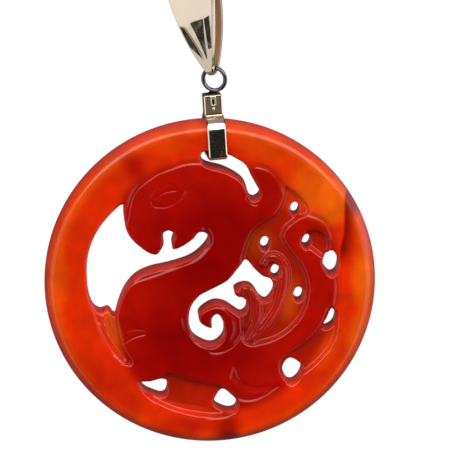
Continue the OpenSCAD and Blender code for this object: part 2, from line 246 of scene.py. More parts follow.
def metal(name):
    """One of the METALS. The mop leaves it faintly wavy over 1.5 mm, handling leaves hairlines in
    patches of 0.3 mm that spread its gloss a little, and its grain is 0.15 mm wide."""
    colour, roughness, grain = METALS[name]
    material, tree = new_material(name)
    place = add_node(tree, "ShaderNodeTexCoord").outputs["Object"]
    hairlines = add_node(tree, "ShaderNodeTexNoise", {
        "Vector": place, "Scale": 1 / (0.3 * MM), "Detail": 3.0})
    rough = add_node(tree, "ShaderNodeMapRange", {
        "Value": hairlines.outputs["Fac"], "To Min": roughness, "To Max": roughness + HAIRLINE_ROUGH})
    grit = add_node(tree, "ShaderNodeTexNoise", {"Vector": place, "Scale": 1 / (0.15 * MM), "Detail": 2.0})
    waves = add_node(tree, "ShaderNodeTexNoise", {"Vector": place, "Scale": 1 / (1.5 * MM), "Detail": 1.0})
    wavy = add_node(tree, "ShaderNodeBump", {
        "Height": waves.outputs["Fac"], "Strength": 0.5, "Distance": 0.12 * MM})
    bump = add_node(tree, "ShaderNodeBump", {
        "Height": grit.outputs["Fac"], "Strength": grain, "Distance": 0.02 * MM,
        "Normal": wavy.outputs["Normal"]})
    shader = add_node(tree, "ShaderNodeBsdfPrincipled", {
        "Base Color": linear(colour), "Metallic": 1.0, "Roughness": rough.outputs["Result"],
        "Normal": bump.outputs["Normal"]})
    finish_material(tree, shader)
    return material


def make_piece(name, points, faces, body, node, materials, face_slots=None, crease=None):
    """Makes one piece at the origin from points in millimetres and arrays of corner numbers.

    Each array of faces holds one row of corners per face. The piece takes its place among the
    bodies, and stands for its solid. Edges that turn more than crease degrees look sharp.
    """
    mesh = bpy.data.meshes.new(name)
    corners = np.concatenate([f.ravel() for f in faces]).astype(np.int32)
    sizes = np.concatenate([np.full(len(f), f.shape[1]) for f in faces])
    mesh.vertices.add(len(points))
    mesh.vertices.foreach_set("co", (np.asarray(points) * MM).astype(np.float32).ravel())
    mesh.loops.add(len(corners))
    mesh.loops.foreach_set("vertex_index", corners)
    mesh.polygons.add(len(sizes))
    mesh.polygons.foreach_set("loop_start", (np.cumsum(sizes) - sizes).astype(np.int32))
    for material in materials:
        mesh.materials.append(material)
    if face_slots is not None:
        mesh.polygons.foreach_set("material_index", np.asarray(face_slots, np.int32))
    mesh.update(calc_edges=True)
    mesh.shade_smooth()
    if crease is not None:
        mesh.set_sharp_from_angle(angle=math.radians(crease))
    piece = bpy.data.objects.new(name, mesh)
    bpy.context.scene.collection.objects.link(piece)
    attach(piece, body)
    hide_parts(node)
    return piece


# Steps of a smooth curve from one of its given points to the next
CURVE_STEPS = 6


def catmull_rom(rows, closed=False):
    """A smooth curve through the rows: between two of them it is the cubic whose slope at each
    row is half the way from the row before to the row after."""
    rows = np.asarray(rows, float)
    if closed:
        padded = np.concatenate([rows[-1:], rows, rows[:2]])
    else:
        padded = np.concatenate([rows[:1], rows, rows[-1:]])
    a, b, c, d = padded[:-3], padded[1:-2], padded[2:-1], padded[3:]
    t = (np.arange(CURVE_STEPS) / CURVE_STEPS)[:, None, None]
    curve = 0.5 * (2 * b + (c - a) * t + (2 * a - 5 * b + 4 * c - d) * t ** 2
                   + (3 * b - a - 3 * c + d) * t ** 3)
    curve = curve.transpose(1, 0, 2).reshape(-1, rows.shape[1])
    return curve if closed else np.concatenate([curve, rows[-1:]])


# Side of the squares by which points are grouped, and how far the nearest line is looked for
TILE = 3.0
REACH = 3.0


def tiles(points):
    """Groups points by squares of TILE mm: gives each group's numbers and its box."""
    cell = np.floor(points / TILE).astype(int)
    cell -= cell.min(0)
    key = cell[:, 0] * (cell[:, 1].max() + 1) + cell[:, 1]
    order = np.argsort(key, kind="stable")
    for chosen in np.split(order, np.flatnonzero(np.diff(key[order])) + 1):
        yield chosen, points[chosen].min(0), points[chosen].max(0)


def to_segments(points, segments):
    """The nearest segment of each point, looked for no farther than REACH.

    A point's foot on a segment is its perpendicular projection, kept between the two ends.
    Returns the distance, the foot, the segment's number and the side: positive to its left.
    """
    distance = np.full(len(points), REACH)
    foot = points.copy()
    number = np.zeros(len(points), int)
    side = np.ones(len(points))
    for chosen, low, high in tiles(points):
        touching = (segments.max(1) > low - REACH).all(1) & (segments.min(1) < high + REACH).all(1)
        numbers = np.flatnonzero(touching)
        if not len(numbers):
            continue
        start, along = segments[numbers, 0], segments[numbers, 1] - segments[numbers, 0]
        offset = points[chosen, None] - start
        t = (offset * along).sum(2) / np.maximum((along ** 2).sum(1), 1e-9)
        feet = start + np.clip(t, 0, 1)[..., None] * along
        away = ((points[chosen, None] - feet) ** 2).sum(2)
        best = away.argmin(1)
        rows = np.arange(len(chosen))
        distance[chosen] = np.minimum(np.sqrt(away[rows, best]), REACH)
        foot[chosen] = feet[rows, best]
        number[chosen] = numbers[best]
        near = offset[rows, best]
        side[chosen] = np.sign(along[best, 0] * near[:, 1] - along[best, 1] * near[:, 0])
    return distance, foot, number, side


def enclosed(points, segments):
    """True where a ray to the right crosses the segments an odd number of times."""
    inside = np.zeros(len(points), bool)
    for chosen, low, high in tiles(points):
        level = (segments[..., 1].max(1) >= low[1]) & (segments[..., 1].min(1) <= high[1])
        level &= segments[..., 0].max(1) >= low[0]
        (x0, z0), (x1, z1) = segments[level, 0].T, segments[level, 1].T
        x, z = points[chosen, 0, None], points[chosen, 1, None]
        slope = (x1 - x0) / np.where(z1 == z0, 1e-9, z1 - z0)
        crossing = ((z0 > z) != (z1 > z)) & (x < x0 + (z - z0) * slope)
        inside[chosen] = crossing.sum(1) % 2 == 1
    return inside


def depth_inside(points, segments):
    """How far each point lies inside the outline of the segments, negative outside it."""
    distance, _, _, _ = to_segments(points, segments)
    return np.where(enclosed(points, segments), distance, -distance)


def node_box(node):
    """Lowest and highest corner of a solid, in millimetres."""
    low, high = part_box(node)
    return np.array(low) / MM, np.array(high) / MM


def section(node, depth):
    """The outlines of a solid on the plane y = depth, as segments of x and z.

    Each triangle of the solid that crosses the plane gives one segment, between the two
    places where its edges cross.
    """
    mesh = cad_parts[node].data
    mesh.calc_loop_triangles()
    places = np.empty(len(mesh.vertices) * 3, np.float32)
    mesh.vertices.foreach_get("co", places)
    places = places.reshape(-1, 3).astype(float) / MM
    corners = np.empty(len(mesh.loop_triangles) * 3, np.int32)
    mesh.loop_triangles.foreach_get("vertices", corners)
    triangles = places[corners.reshape(-1, 3)]
    above = triangles[..., 1] > depth
    crossing = triangles[above.any(1) & ~above.all(1)]
    ends = np.roll(crossing, -1, axis=1)
    crossed = (crossing[..., 1] > depth) != (ends[..., 1] > depth)
    share = (depth - crossing[..., 1]) / np.where(crossed, ends[..., 1] - crossing[..., 1], 1.0)
    cuts = crossing + share[..., None] * (ends - crossing)
    return cuts[crossed].reshape(-1, 2, 3)[:, :, [0, 2]]


# The carving of the stone's front.
# Points are shares of the carved field's half width and half height.

# Cuts beside a crest: [side of the crest that is cut, depth, fall, floor, rise, points].
# The depth and the three widths across the cut are millimetres. Left and right are those of
# somebody who walks along the points.
CUTS = [
    # round the back of the head
    ["left", 0.13, 0.22, 0.05, 0.50,
     [(-0.676, 0.434), (-0.658, 0.484), (-0.640, 0.575), (-0.620, 0.648), (-0.574, 0.715), (-0.502, 0.768),
      (-0.417, 0.820), (-0.304, 0.860), (-0.192, 0.893), (-0.050, 0.896), (-0.015, 0.893)]],
    # along the top of the head, at the top opening
    ["left", 0.14, 0.22, 1.60, 0.30,
     [(-0.015, 0.890), (0.065, 0.872), (0.145, 0.832), (0.220, 0.780), (0.262, 0.715), (0.300, 0.655)]],
    # along the chest, at the large opening
    ["left", 0.14, 0.22, 1.60, 0.30,
     [(-0.735, -0.160), (-0.700, -0.055), (-0.605, 0.010), (-0.400, 0.075), (-0.215, 0.140),
      (-0.095, 0.185), (0.010, 0.290), (0.020, 0.360), (-0.015, 0.420), (-0.075, 0.440)]],
    # round the ear
    ["left", 0.12, 0.20, 0.05, 0.50,
     [(0.325, 0.870), (0.365, 0.865), (0.420, 0.855), (0.485, 0.825), (0.540, 0.765),
      (0.575, 0.700), (0.590, 0.640)]],
    # over the tail's curl
    ["left", 0.12, 0.20, 0.05, 0.50,
     [(0.625, 0.420), (0.665, 0.465), (0.710, 0.480), (0.775, 0.500), (0.850, 0.480),
      (0.920, 0.440), (0.955, 0.380), (0.980, 0.285)]],
    # down the tail's outer side
    ["left", 0.12, 0.20, 0.05, 0.40,
     [(0.970, 0.110), (0.995, 0.040), (1.005, -0.020), (1.000, -0.130), (0.985, -0.190)]],
    # under the hoof
    ["right", 0.15, 0.22, 0.10, 0.40,
     [(0.180, -0.835), (0.250, -0.855), (0.325, -0.860), (0.420, -0.830), (0.500, -0.780),
      (0.565, -0.745)]],
    # over the hoof
    ["right", 0.14, 0.30, 0.10, 0.90,
     [(0.150, -0.740), (0.170, -0.665), (0.188, -0.620), (0.205, -0.665), (0.230, -0.715),
      (0.305, -0.760), (0.400, -0.775), (0.500, -0.750)]],
    # under the belly's edge, from the opening to the hoof
    ["right", 0.14, 0.40, 0.20, 0.50,
     [(-0.345, -0.665), (-0.275, -0.695), (-0.080, -0.735), (0.080, -0.755)]],
]

# Engraved lines: [depth, width, points], the first two in millimetres
LINES = [
    # the eye
    [0.11, 0.42, [(-0.470, 0.635), (-0.430, 0.655), (-0.380, 0.687), (-0.325, 0.701), (-0.255, 0.710)]],
    [0.11, 0.42, [(-0.480, 0.625), (-0.455, 0.592), (-0.410, 0.582), (-0.355, 0.585), (-0.290, 0.610),
                  (-0.235, 0.645), (-0.195, 0.685), (-0.195, 0.715)]],
    [0.07, 0.40, [(-0.485, 0.640), (-0.445, 0.690), (-0.405, 0.727), (-0.340, 0.747), (-0.285, 0.743)]],
    # the small curl at the end of the top opening
    [0.11, 0.38, [(0.280, 0.655), (0.300, 0.620), (0.350, 0.592), (0.400, 0.600)]],
    # outside the ear
    [0.07, 0.34, [(0.330, 0.905), (0.420, 0.882), (0.500, 0.857)]],
    # on the curled end in the middle
    [0.13, 0.41, [(-0.080, -0.215), (-0.015, -0.185), (0.065, -0.172), (0.130, -0.205), (0.185, -0.280),
                  (0.195, -0.355), (0.160, -0.435)]],
    [0.12, 0.38, [(-0.225, -0.245), (-0.210, -0.320), (-0.160, -0.395), (-0.080, -0.465), (0.040, -0.460)]],
    [0.14, 0.45, [(-0.025, -0.512), (0.080, -0.515), (0.180, -0.470), (0.245, -0.395), (0.290, -0.340)]],
    [0.11, 0.38, [(0.250, -0.055), (0.275, -0.040), (0.305, -0.040), (0.350, -0.080), (0.375, -0.130)]],
    # between the strands
    [0.10, 0.38, [(0.460, 0.030), (0.475, -0.080), (0.440, -0.230), (0.360, -0.350), (0.285, -0.440)]],
    # the knee
    [0.11, 0.41, [(-0.710, -0.450), (-0.645, -0.408), (-0.565, -0.380), (-0.510, -0.368)]],
    [0.07, 0.38, [(-0.705, -0.358), (-0.605, -0.335), (-0.510, -0.350)]],
    # the shoulder's hair
    [0.11, 0.34, [(-0.955, -0.255), (-0.915, -0.275), (-0.865, -0.420), (-0.785, -0.525),
                  (-0.670, -0.605)]],
    [0.10, 0.34, [(-0.835, -0.165), (-0.785, -0.295), (-0.745, -0.450), (-0.695, -0.530)]],
    # along the ground below the belly
    [0.08, 0.34, [(-0.365, -0.885), (-0.200, -0.915), (-0.025, -0.940)]],
]

# Raised strands on the ground: [share of half width, share of half height, half width in mm]
STRANDS = [
    [(0.430, 0.135, 0.21), (0.485, 0.190, 0.36), (0.545, 0.175, 0.48), (0.590, 0.100, 0.57),
     (0.595, 0.000, 0.60), (0.570, -0.110, 0.57), (0.520, -0.220, 0.51), (0.445, -0.320, 0.45),
     (0.335, -0.430, 0.36)],
    [(0.345, -0.040, 0.36), (0.380, -0.130, 0.48), (0.385, -0.240, 0.54), (0.350, -0.335, 0.48),
     (0.290, -0.430, 0.36)],
    [(-0.890, -0.210, 0.24), (-0.860, -0.345, 0.27), (-0.790, -0.475, 0.27), (-0.690, -0.590, 0.18)],
]

# How much of a cut's fall lies on the crest's own side, and over what length its ends fade
CREST_SHARE = 0.3
CUT_FADE = 0.8
# Over what length an engraved line's ends fade
LINE_FADE = 0.5
# How much lower a strand's top lies at its sides than in its middle
STRAND_ROUND = 0.18
# Where a strand's drop below the face fades out, as shares of its half width
STRAND_SIDE = (0.9, 1.3)

# The ground's outline is read from the solid at this share of its depth
OUTLINE_SHARE = 0.6
# Where the slope down to the ground starts and ends, measured inwards from that outline
SLOPE = (-0.12, 0.42)
# The figure is slightly pillowed: how far it sinks at the ground's outline, and how fast it
# comes up again
PILLOW_DEEP = 0.10
PILLOW_FADE = 1.3

# The stone's colours: [share of the disc's radius right, up, half width, half height, turn in
# degrees, colour, strength, softness]. Each is an oval patch laid over those before it. It is
# whole out to one less its softness, as a share of its size, and gone at its edge.
PATCHES = [
    [0.02, 0.22, 0.62, 0.52, 0, OXBLOOD, 0.85, 0.80],
    [-0.08, -0.36, 0.58, 0.40, 10, OXBLOOD, 0.80, 0.70],
    [0.66, 0.56, 0.30, 0.20, -42, AMBER, 0.70, 0.80],
    [0.74, 0.44, 0.10, 0.12, 0, AMBER, 0.60, 0.80],
    [0.92, 0.02, 0.10, 0.26, 0, AMBER, 0.70, 0.80],
    [0.90, -0.30, 0.10, 0.20, -20, AMBER, 0.45, 0.80],
    [0.30, 0.82, 0.26, 0.08, -20, AMBER, 0.25, 0.80],
    [-0.24, 0.84, 0.16, 0.07, 15, AMBER, 0.15, 0.80],
    [0.30, 0.24, 0.13, 0.12, 30, AMBER, 0.16, 0.80],
    [0.485, -0.12, 0.08, 0.20, -10, AMBER, 0.30, 0.90],
    [0.72, -0.42, 0.08, 0.20, -30, AMBER, 0.25, 0.90],
    [-0.59, -0.27, 0.06, 0.20, 18, AMBER, 0.40, 0.70],
    [-0.91, 0.04, 0.08, 0.30, 0, AMBER, 0.30, 0.80],
    [-0.62, -0.62, 0.34, 0.20, -45, BLOOD, 0.45, 0.80],
    [-0.20, -0.90, 0.34, 0.12, 10, BLOOD, 0.55, 0.80],
    [-0.46, 0.73, 0.10, 0.18, 35, BLOOD, 0.75, 0.95],
    [0.10, -0.90, 0.12, 0.18, -15, OXBLOOD, 0.75, 0.85],
    [0.12, -0.96, 0.09, 0.08, -15, SMOKE, 0.75, 0.85],
    [0.860, 0.50, 0.055, 0.12, 12, SMOKE, 0.80, 0.70],
]

# The deep red layer that the animal is cut in: its outline, in shares of the disc's radius
RED_LAYER = [
    (0.03, 0.77), (0.19, 0.74), (0.33, 0.71), (0.42, 0.64), (0.44, 0.54), (0.43, 0.47), (0.52, 0.44),
    (0.62, 0.42), (0.71, 0.34), (0.76, 0.20), (0.77, 0.02), (0.75, -0.18), (0.68, -0.38), (0.54, -0.58),
    (0.36, -0.72), (0.12, -0.80), (-0.14, -0.78), (-0.40, -0.66), (-0.52, -0.48), (-0.58, -0.24),
    (-0.58, 0.20), (-0.54, 0.50), (-0.46, 0.62), (-0.34, 0.70), (-0.18, 0.75)]
RED_LAYER_WEIGHT = 0.9
RED_LAYER_SOFT = 0.9

# Painted light: the orange glow along the rim's crest, where the stone thins, with a painted highlight from
# above: its half width as a share of the disc's radius, its strength at the bottom, and what the light from
# above adds to it higher up
CREST_GLOW_WIDE = 0.035
CREST_GLOW = 0.22
CREST_GLOW_ABOVE = 0.18
# Between these heights, as shares of the disc's radius, the light from above comes in
CREST_GLOW_RISE = (-0.8, -0.1)
# Painted glow: how much of the orange shows through the ground, where the stone is thinner and lets light
# through
GROUND_GLOW = 0.05
# Painted glow: how far the slopes down to the ground turn to the lighter red of a thin edge that light
# shines through.
# They start between the depths of the first pair, and end between those of the second, shares of the
# ground's depth.
SLOPE_GLOW = 0.12
SLOPE_TOP = (0.05, 0.3)
SLOPE_FOOT = (0.6, 0.95)
# Painted glow: how far the openings' walls turn to the lighter red, because light gets into them from both
# sides
WALL_GLOW = 0.7

# How sawn a surface is, from none at full polish to one. The ground is duller than the face,
# because a polishing mop can't reach it, and so are the openings' walls and their edges. The more
# sawn, the more dusty rose is mixed in, partly matt stone and partly painted sheen.
GROUND_SAWN = 0.18
WALL_SAWN = 0.35
EDGE_SAWN = 0.30
# The carving grows duller between these depths
CARVED_DULL = (0.1, 0.5)
# The rim grows duller between these depths below the face
RIM_DULL = (0.15, 1.6)

# The dark vein from the rim down beside the tail: shares of the disc's radius. It is sharp on
# the side of the tail and soft on the side of the rim, by these widths in millimetres.
VEIN = [(0.90, 0.66), (0.84, 0.57), (0.815, 0.52), (0.812, 0.42), (0.810, 0.32), (0.79, 0.20), (0.78, 0.08)]
VEIN_SHARP = 0.25
VEIN_SOFT = 1.9
VEIN_WEIGHT = 0.92
VEIN_FADE = 3.0


def lines_of(points, scale):
    """A smooth line through points given as shares, as segments in millimetres."""
    curve = catmull_rom(points)
    curve[:, :2] *= scale
    return curve, np.stack([curve[:-1, :2], curve[1:, :2]], 1)


def beside_line(points, shares, scale, reach):
    """Where points lie beside a smooth line through shares of the carved field.

    Only points in the line's box, made larger by reach, are looked at. Returns the line, their
    numbers, and their distance, foot, segment and side.
    """
    curve, segments = lines_of(shares, scale)
    low, high = curve[:, :2].min(0) - reach, curve[:, :2].max(0) + reach
    chosen = np.flatnonzero(((points > low) & (points < high)).all(1))
    return curve, chosen, *to_segments(points[chosen], segments)


def end_fade(foot, curve, length):
    """One along a line, falling smoothly to zero over length at both of its ends."""
    to_start = np.linalg.norm(foot - curve[0, :2], axis=1)
    to_end = np.linalg.norm(foot - curve[-1, :2], axis=1)
    return smoothstep(np.minimum(to_start, to_end), 0, length)


def cut_depth(points, scale):
    """Depth of the cuts beside the crests.

    Across a cut the surface falls in an S from the crest to the floor, stays there and rises
    in an S to the face again, so the crest stands out and the far side fades.
    """
    depth = np.zeros(len(points))
    for side, deep, fall, floor, rise, shares in CUTS:
        reach = fall + floor + rise
        curve, chosen, distance, foot, _, left = beside_line(points, shares, scale, reach)
        across = distance * left * (1 if side == "left" else -1)
        shape = smoothstep(across, -CREST_SHARE * fall, (1 - CREST_SHARE) * fall)
        shape *= 1 - smoothstep(across, fall + floor, reach)
        shape *= end_fade(foot, curve, CUT_FADE)
        depth[chosen] = np.maximum(depth[chosen], deep * shape)
    return depth


def line_depth(points, scale):
    """Depth of the engraved lines: (1 - t squared) squared, where t is the distance from the
    line's middle as a share of its half width."""
    depth = np.zeros(len(points))
    for deep, width, shares in LINES:
        curve, chosen, distance, foot, _, _ = beside_line(points, shares, scale, width)
        t = np.clip(distance / (width / 2), 0, 1)
        shape = (1 - t * t) ** 2 * end_fade(foot, curve, LINE_FADE)
        depth[chosen] = np.maximum(depth[chosen], deep * shape)
    return depth


def strand_depth(points, scale):
    """Depth of the strands' tops below the face: the strands' drop and a parabola across, lowest
    at the two sides. It ends where the slope down to the ground takes over."""
    depth = np.zeros(len(points))
    for rows in STRANDS:
        reach = STRAND_SIDE[1] * max(half_width for _, _, half_width in rows)
        curve, chosen, distance, _, number, _ = beside_line(points, rows, scale, reach)
        t = distance / curve[number, 2]
        top = STRAND_DROP * (1 - smoothstep(t, *STRAND_SIDE)) + STRAND_ROUND * np.minimum(t, 1) ** 2
        depth[chosen] = np.maximum(depth[chosen], np.where(t < STRAND_SIDE[1], top, 0))
    return depth


def carved_depths(points, ground, scale):
    """Depth of the carving below the face, and how far the figure's pillowed face sinks.

    The slope to the ground is an S across the ground's outline. Strands and cuts are taken
    where they lie deeper than it, and the engraved lines are cut into all of it. The pillow
    sinks by the exponential of the distance from the outline.
    """
    below = depth_inside(points, ground)
    relief = GROUND_CUT * smoothstep(below, *SLOPE)
    relief = np.maximum(relief, strand_depth(points, scale))
    relief = np.maximum(relief, cut_depth(points, scale))
    relief += line_depth(points, scale)
    return relief, PILLOW_DEEP * np.exp(-np.abs(below) / PILLOW_FADE) * (below < 0)


def disc_grid(rings):
    """A square grid pressed into a circle.

    Row and column run from -rings to rings. The larger of the two, by size, is the ring's
    number, and the smaller as a share of it, times 45 degrees, is the angle in its quarter.
    Returns the ring numbers and unit directions of all points.
    """
    row, column = np.meshgrid(np.arange(-rings, rings + 1), np.arange(-rings, rings + 1), indexing="ij")
    across = np.abs(row) >= np.abs(column)
    large = np.where(across, row, column)
    small = np.where(across, column, row)
    turn = math.pi / 4 * small / np.where(large == 0, 1, large)
    angle = np.where(across, turn, math.pi / 2 - turn)
    direction = np.sign(large)[..., None] * np.stack([np.cos(angle), np.sin(angle)], -1)
    return np.abs(large).ravel(), direction.reshape(-1, 2)


# Rings of the stone's grid: over the carved field, on the ring's face and down the rim
FIELD_RINGS, FACE_RINGS, RIM_RINGS = 126, 11, 9
# The finer rings of the field end at this radius
FINE_R = 18.9


def rim_profile(radius, half):
    """Radius and depth of each ring of the grid.

    The face is flat out to the crest. The rim is an arc that starts at the crest with a
    crease and ends upright at half the stone's thickness: its radius is the one for which
    both hold, (crest width squared + half thickness squared) / (2 crest widths). The third
    row is what polishing has taken off the crest: (1 - t) squared, with t the distance from it.
    """
    crest = radius - RIM_CREST
    arc_r = (RIM_CREST ** 2 + half ** 2) / (2 * RIM_CREST)
    start = math.asin(half / arc_r)
    field = np.linspace(0, FINE_R, FIELD_RINGS + 1)
    face = np.linspace(FINE_R, crest, FACE_RINGS + 1)[1:]
    angle = np.linspace(start, 0, RIM_RINGS + 1)[1:]
    rim_r = radius - arc_r + arc_r * np.cos(angle)
    rim_depth = half - arc_r * np.sin(angle)
    radii = np.concatenate([field, face, rim_r])
    depths = np.concatenate([np.zeros(len(field) + len(face)), rim_depth])
    near = np.clip(1 - np.abs(radii - crest) / CREST_SOFT, 0, 1)
    return radii, depths, near ** 2 * CREST_SOFT / (4 * math.tan(start))


def snap_to_openings(points, gaps, step):
    """Moves the grid's points next to an opening onto its outline.

    Returns the moved points and their distance from the outlines, negative in an opening. A
    point nearer than half a step moves to its foot. Then, of two neighbours on different
    sides, the nearer one moves, until no grid line crosses an outline.
    """
    side = int(round(math.sqrt(len(points))))
    distance, foot, _, _ = to_segments(points, gaps)
    signed = np.where(enclosed(points, gaps), -distance, distance)
    points = points.copy()
    near = distance < step / 2
    for _ in range(4):
        points[near] = foot[near]
        signed[near] = 0
        grid = signed.reshape(side, side)
        near = np.zeros((side, side), bool)
        for axis in (0, 1):
            one = grid if axis == 0 else grid.T
            flags = near if axis == 0 else near.T
            crossed = one[:-1] * one[1:] < 0
            first = np.abs(one[:-1]) <= np.abs(one[1:])
            flags[:-1] |= crossed & first
            flags[1:] |= crossed & ~first
        near = near.ravel()
        if not near.any():
            break
    return points, signed


# Halves of cells smaller than this, in square millimetres, are left out
LEAST_HALF = 1e-6


def sheet_faces(points, signed, gaps):
    """Four and three cornered faces of the grid that lie in the stone.

    Cells wholly inside stay whole. A cell that touches an outline is halved across the
    diagonal that parts its inner corner from its outer one, and a half stays if one of its
    corners lies inside, or its middle does where all three lie on the outline.
    """
    side = int(round(math.sqrt(len(points))))
    number = np.arange(side * side).reshape(side, side)
    cells = np.stack([number[:-1, :-1], number[1:, :-1], number[1:, 1:], number[:-1, 1:]], -1)
    cells = cells.reshape(-1, 4)
    value = signed[cells]
    whole = value.min(1) > 0
    mixed = ~whole & (value.max(1) >= 0)
    cells_mixed, value = cells[mixed], value[mixed]
    swap = (value[:, 0] * value[:, 2] < 0)
    same = ~swap & ~(value[:, 1] * value[:, 3] < 0)
    swap |= same & (value[:, 1] + value[:, 3] > value[:, 0] + value[:, 2])
    turned = np.where(swap[:, None], np.roll(cells_mixed, -1, 1), cells_mixed)
    halves = np.concatenate([turned[:, [0, 1, 2]], turned[:, [0, 2, 3]]])
    value = signed[halves]
    keep = (value.min(1) >= 0) & (value.max(1) > 0)
    flat = (value == 0).all(1)
    middle = points[halves[flat]].mean(1)
    keep[flat] = ~enclosed(middle, gaps)
    a, b, c = (points[halves[:, k]] for k in range(3))
    size = (b[:, 0] - a[:, 0]) * (c[:, 1] - a[:, 1]) - (b[:, 1] - a[:, 1]) * (c[:, 0] - a[:, 0])
    keep &= size > LEAST_HALF
    return cells[whole], halves[keep]


def open_edges(quads, thirds):
    """The faces' edges that have a face on one side only, in the order of that face's corners."""
    edges = np.concatenate([
        np.stack([f, np.roll(f, -1, 1)], -1).reshape(-1, 2) for f in (quads, thirds)])
    key = np.sort(edges, 1)
    key = key[:, 0].astype(np.int64) * (key.max() + 1) + key[:, 1]
    _, first, count = np.unique(key, return_index=True, return_counts=True)
    return edges[first[count == 1]]


def laid_over(colour, name, weight):
    """A colour with another laid over it, mixed at each point by its weight."""
    weight = weight[:, None]
    return colour * (1 - weight) + np.array(linear(name)[:3]) * weight


def stone_tint(places, radius, relief):
    """The stone's colour at each place: the base colour, the red layer, the painted glow and highlight of
    the crest, the soft patches and the vein laid over it in turn, and then the painted glow, lighter orange
    and red, where the carving has made it thin."""
    flat = places[:, [0, 2]]
    share = flat / radius
    outline = catmull_rom(RED_LAYER, closed=True) * radius
    inside = depth_inside(flat, np.stack([outline, np.roll(outline, -1, 0)], 1))
    layer = RED_LAYER_WEIGHT * smoothstep(inside, -RED_LAYER_SOFT, RED_LAYER_SOFT)
    colour = laid_over(np.array(linear(CARNELIAN)[:3]), BLOOD, layer)

    # Painted glow and highlight along the rim's crest, stronger where light from above falls
    crest = (np.hypot(*share.T) - 1 + RIM_CREST / radius) / CREST_GLOW_WIDE
    glow = CREST_GLOW + CREST_GLOW_ABOVE * smoothstep(share[:, 1], *CREST_GLOW_RISE)
    colour = laid_over(colour, AMBER, np.exp(-crest ** 2) * glow)

    for right, up, wide, high, turn, name, strength, soft in PATCHES:
        c, s = math.cos(math.radians(turn)), math.sin(math.radians(turn))
        offset = share - (right, up)
        u = (offset[:, 0] * c + offset[:, 1] * s) / wide
        v = (offset[:, 1] * c - offset[:, 0] * s) / high
        colour = laid_over(colour, name, strength * (1 - smoothstep(np.hypot(u, v), 1 - soft, 1)))

    curve, segments = lines_of(VEIN, (radius, radius))
    distance, foot, _, left = to_segments(flat, segments)
    width = np.where(left > 0, VEIN_SOFT, VEIN_SHARP)
    vein = VEIN_WEIGHT * (1 - smoothstep(distance / width, 0, 1)) * end_fade(foot, curve, VEIN_FADE)
    colour = laid_over(colour, OXBLOOD, vein)

    # Painted glow where the carving has thinned the stone, and on the slopes down to the ground
    colour = laid_over(colour, AMBER, GROUND_GLOW * smoothstep(relief, SLOPE_TOP[1], GROUND_CUT))
    slope = smoothstep(relief, *SLOPE_TOP)
    slope *= 1 - smoothstep(relief, SLOPE_FOOT[0] * GROUND_CUT, SLOPE_FOOT[1] * GROUND_CUT)
    return laid_over(colour, PAINTED_GLOW_RED, SLOPE_GLOW * slope)


# Heights of the long waves and the short ripples that hand work leaves in the face, and how many
# rings of the face they reach past the carved field
WAVE_HIGH, RIPPLE_HIGH = 0.012, 0.006
WAVE_RINGS = 4


def soft_waves(points):
    """Hand work is never quite flat: waves about 12 mm long, and ripples about 5 mm long and half as
    high. Each is a product of two crossed sines."""
    x, z = points.T
    return (WAVE_HIGH * np.sin(x / 1.9 + 0.6 * np.sin(z / 2.7)) * np.sin(z / 2.3 + 1.1)
            + RIPPLE_HIGH * np.sin(x / 0.8 + z / 1.3) * np.sin(z / 0.9 - x / 2.1))


# The openings' outlines are read just past the middle: at this share of half the stone's thickness
PAST_MIDDLE = 1.01
# The rounded edge of an opening, and the rows of faces down its wall
EDGE_WIDE, EDGE_DEEP = 0.34, 0.24
WALL_ROWS = 5


def edge_drop(distance):
    """Depth of the rounded edge of an opening: a quarter ellipse, from nothing at its width to
    its full depth at the outline."""
    t = np.clip(1 - distance / EDGE_WIDE, 0, 1)
    return EDGE_DEEP * (1 - np.sqrt(1 - t * t))


def opening_walls(points, edges, count):
    """Walls from the front's open edges to the back's: straight rows of points between the two,
    and the faces from row to row. Returns all points and the walls' faces."""
    used, place = np.unique(edges, return_inverse=True)
    start, end = place.reshape(edges.shape).T
    rows = [used]
    for k in range(1, WALL_ROWS):
        share = k / WALL_ROWS
        between = points[used] * (1 - share) + points[used + count] * share
        rows.append(np.arange(len(used)) + len(points))
        points = np.concatenate([points, between])
    rows.append(used + count)
    walls = [np.column_stack([upper[end], upper[start], lower[start], lower[end]])
             for upper, lower in zip(rows[:-1], rows[1:])]
    return points, walls


def add_attribute(mesh, name, kind, part, values):
    """Gives each point of a mesh its value, for a material to read by the attribute's name."""
    attribute = mesh.attributes.new(name, kind, "POINT")
    attribute.data.foreach_set(part, values.astype(np.float32).ravel())


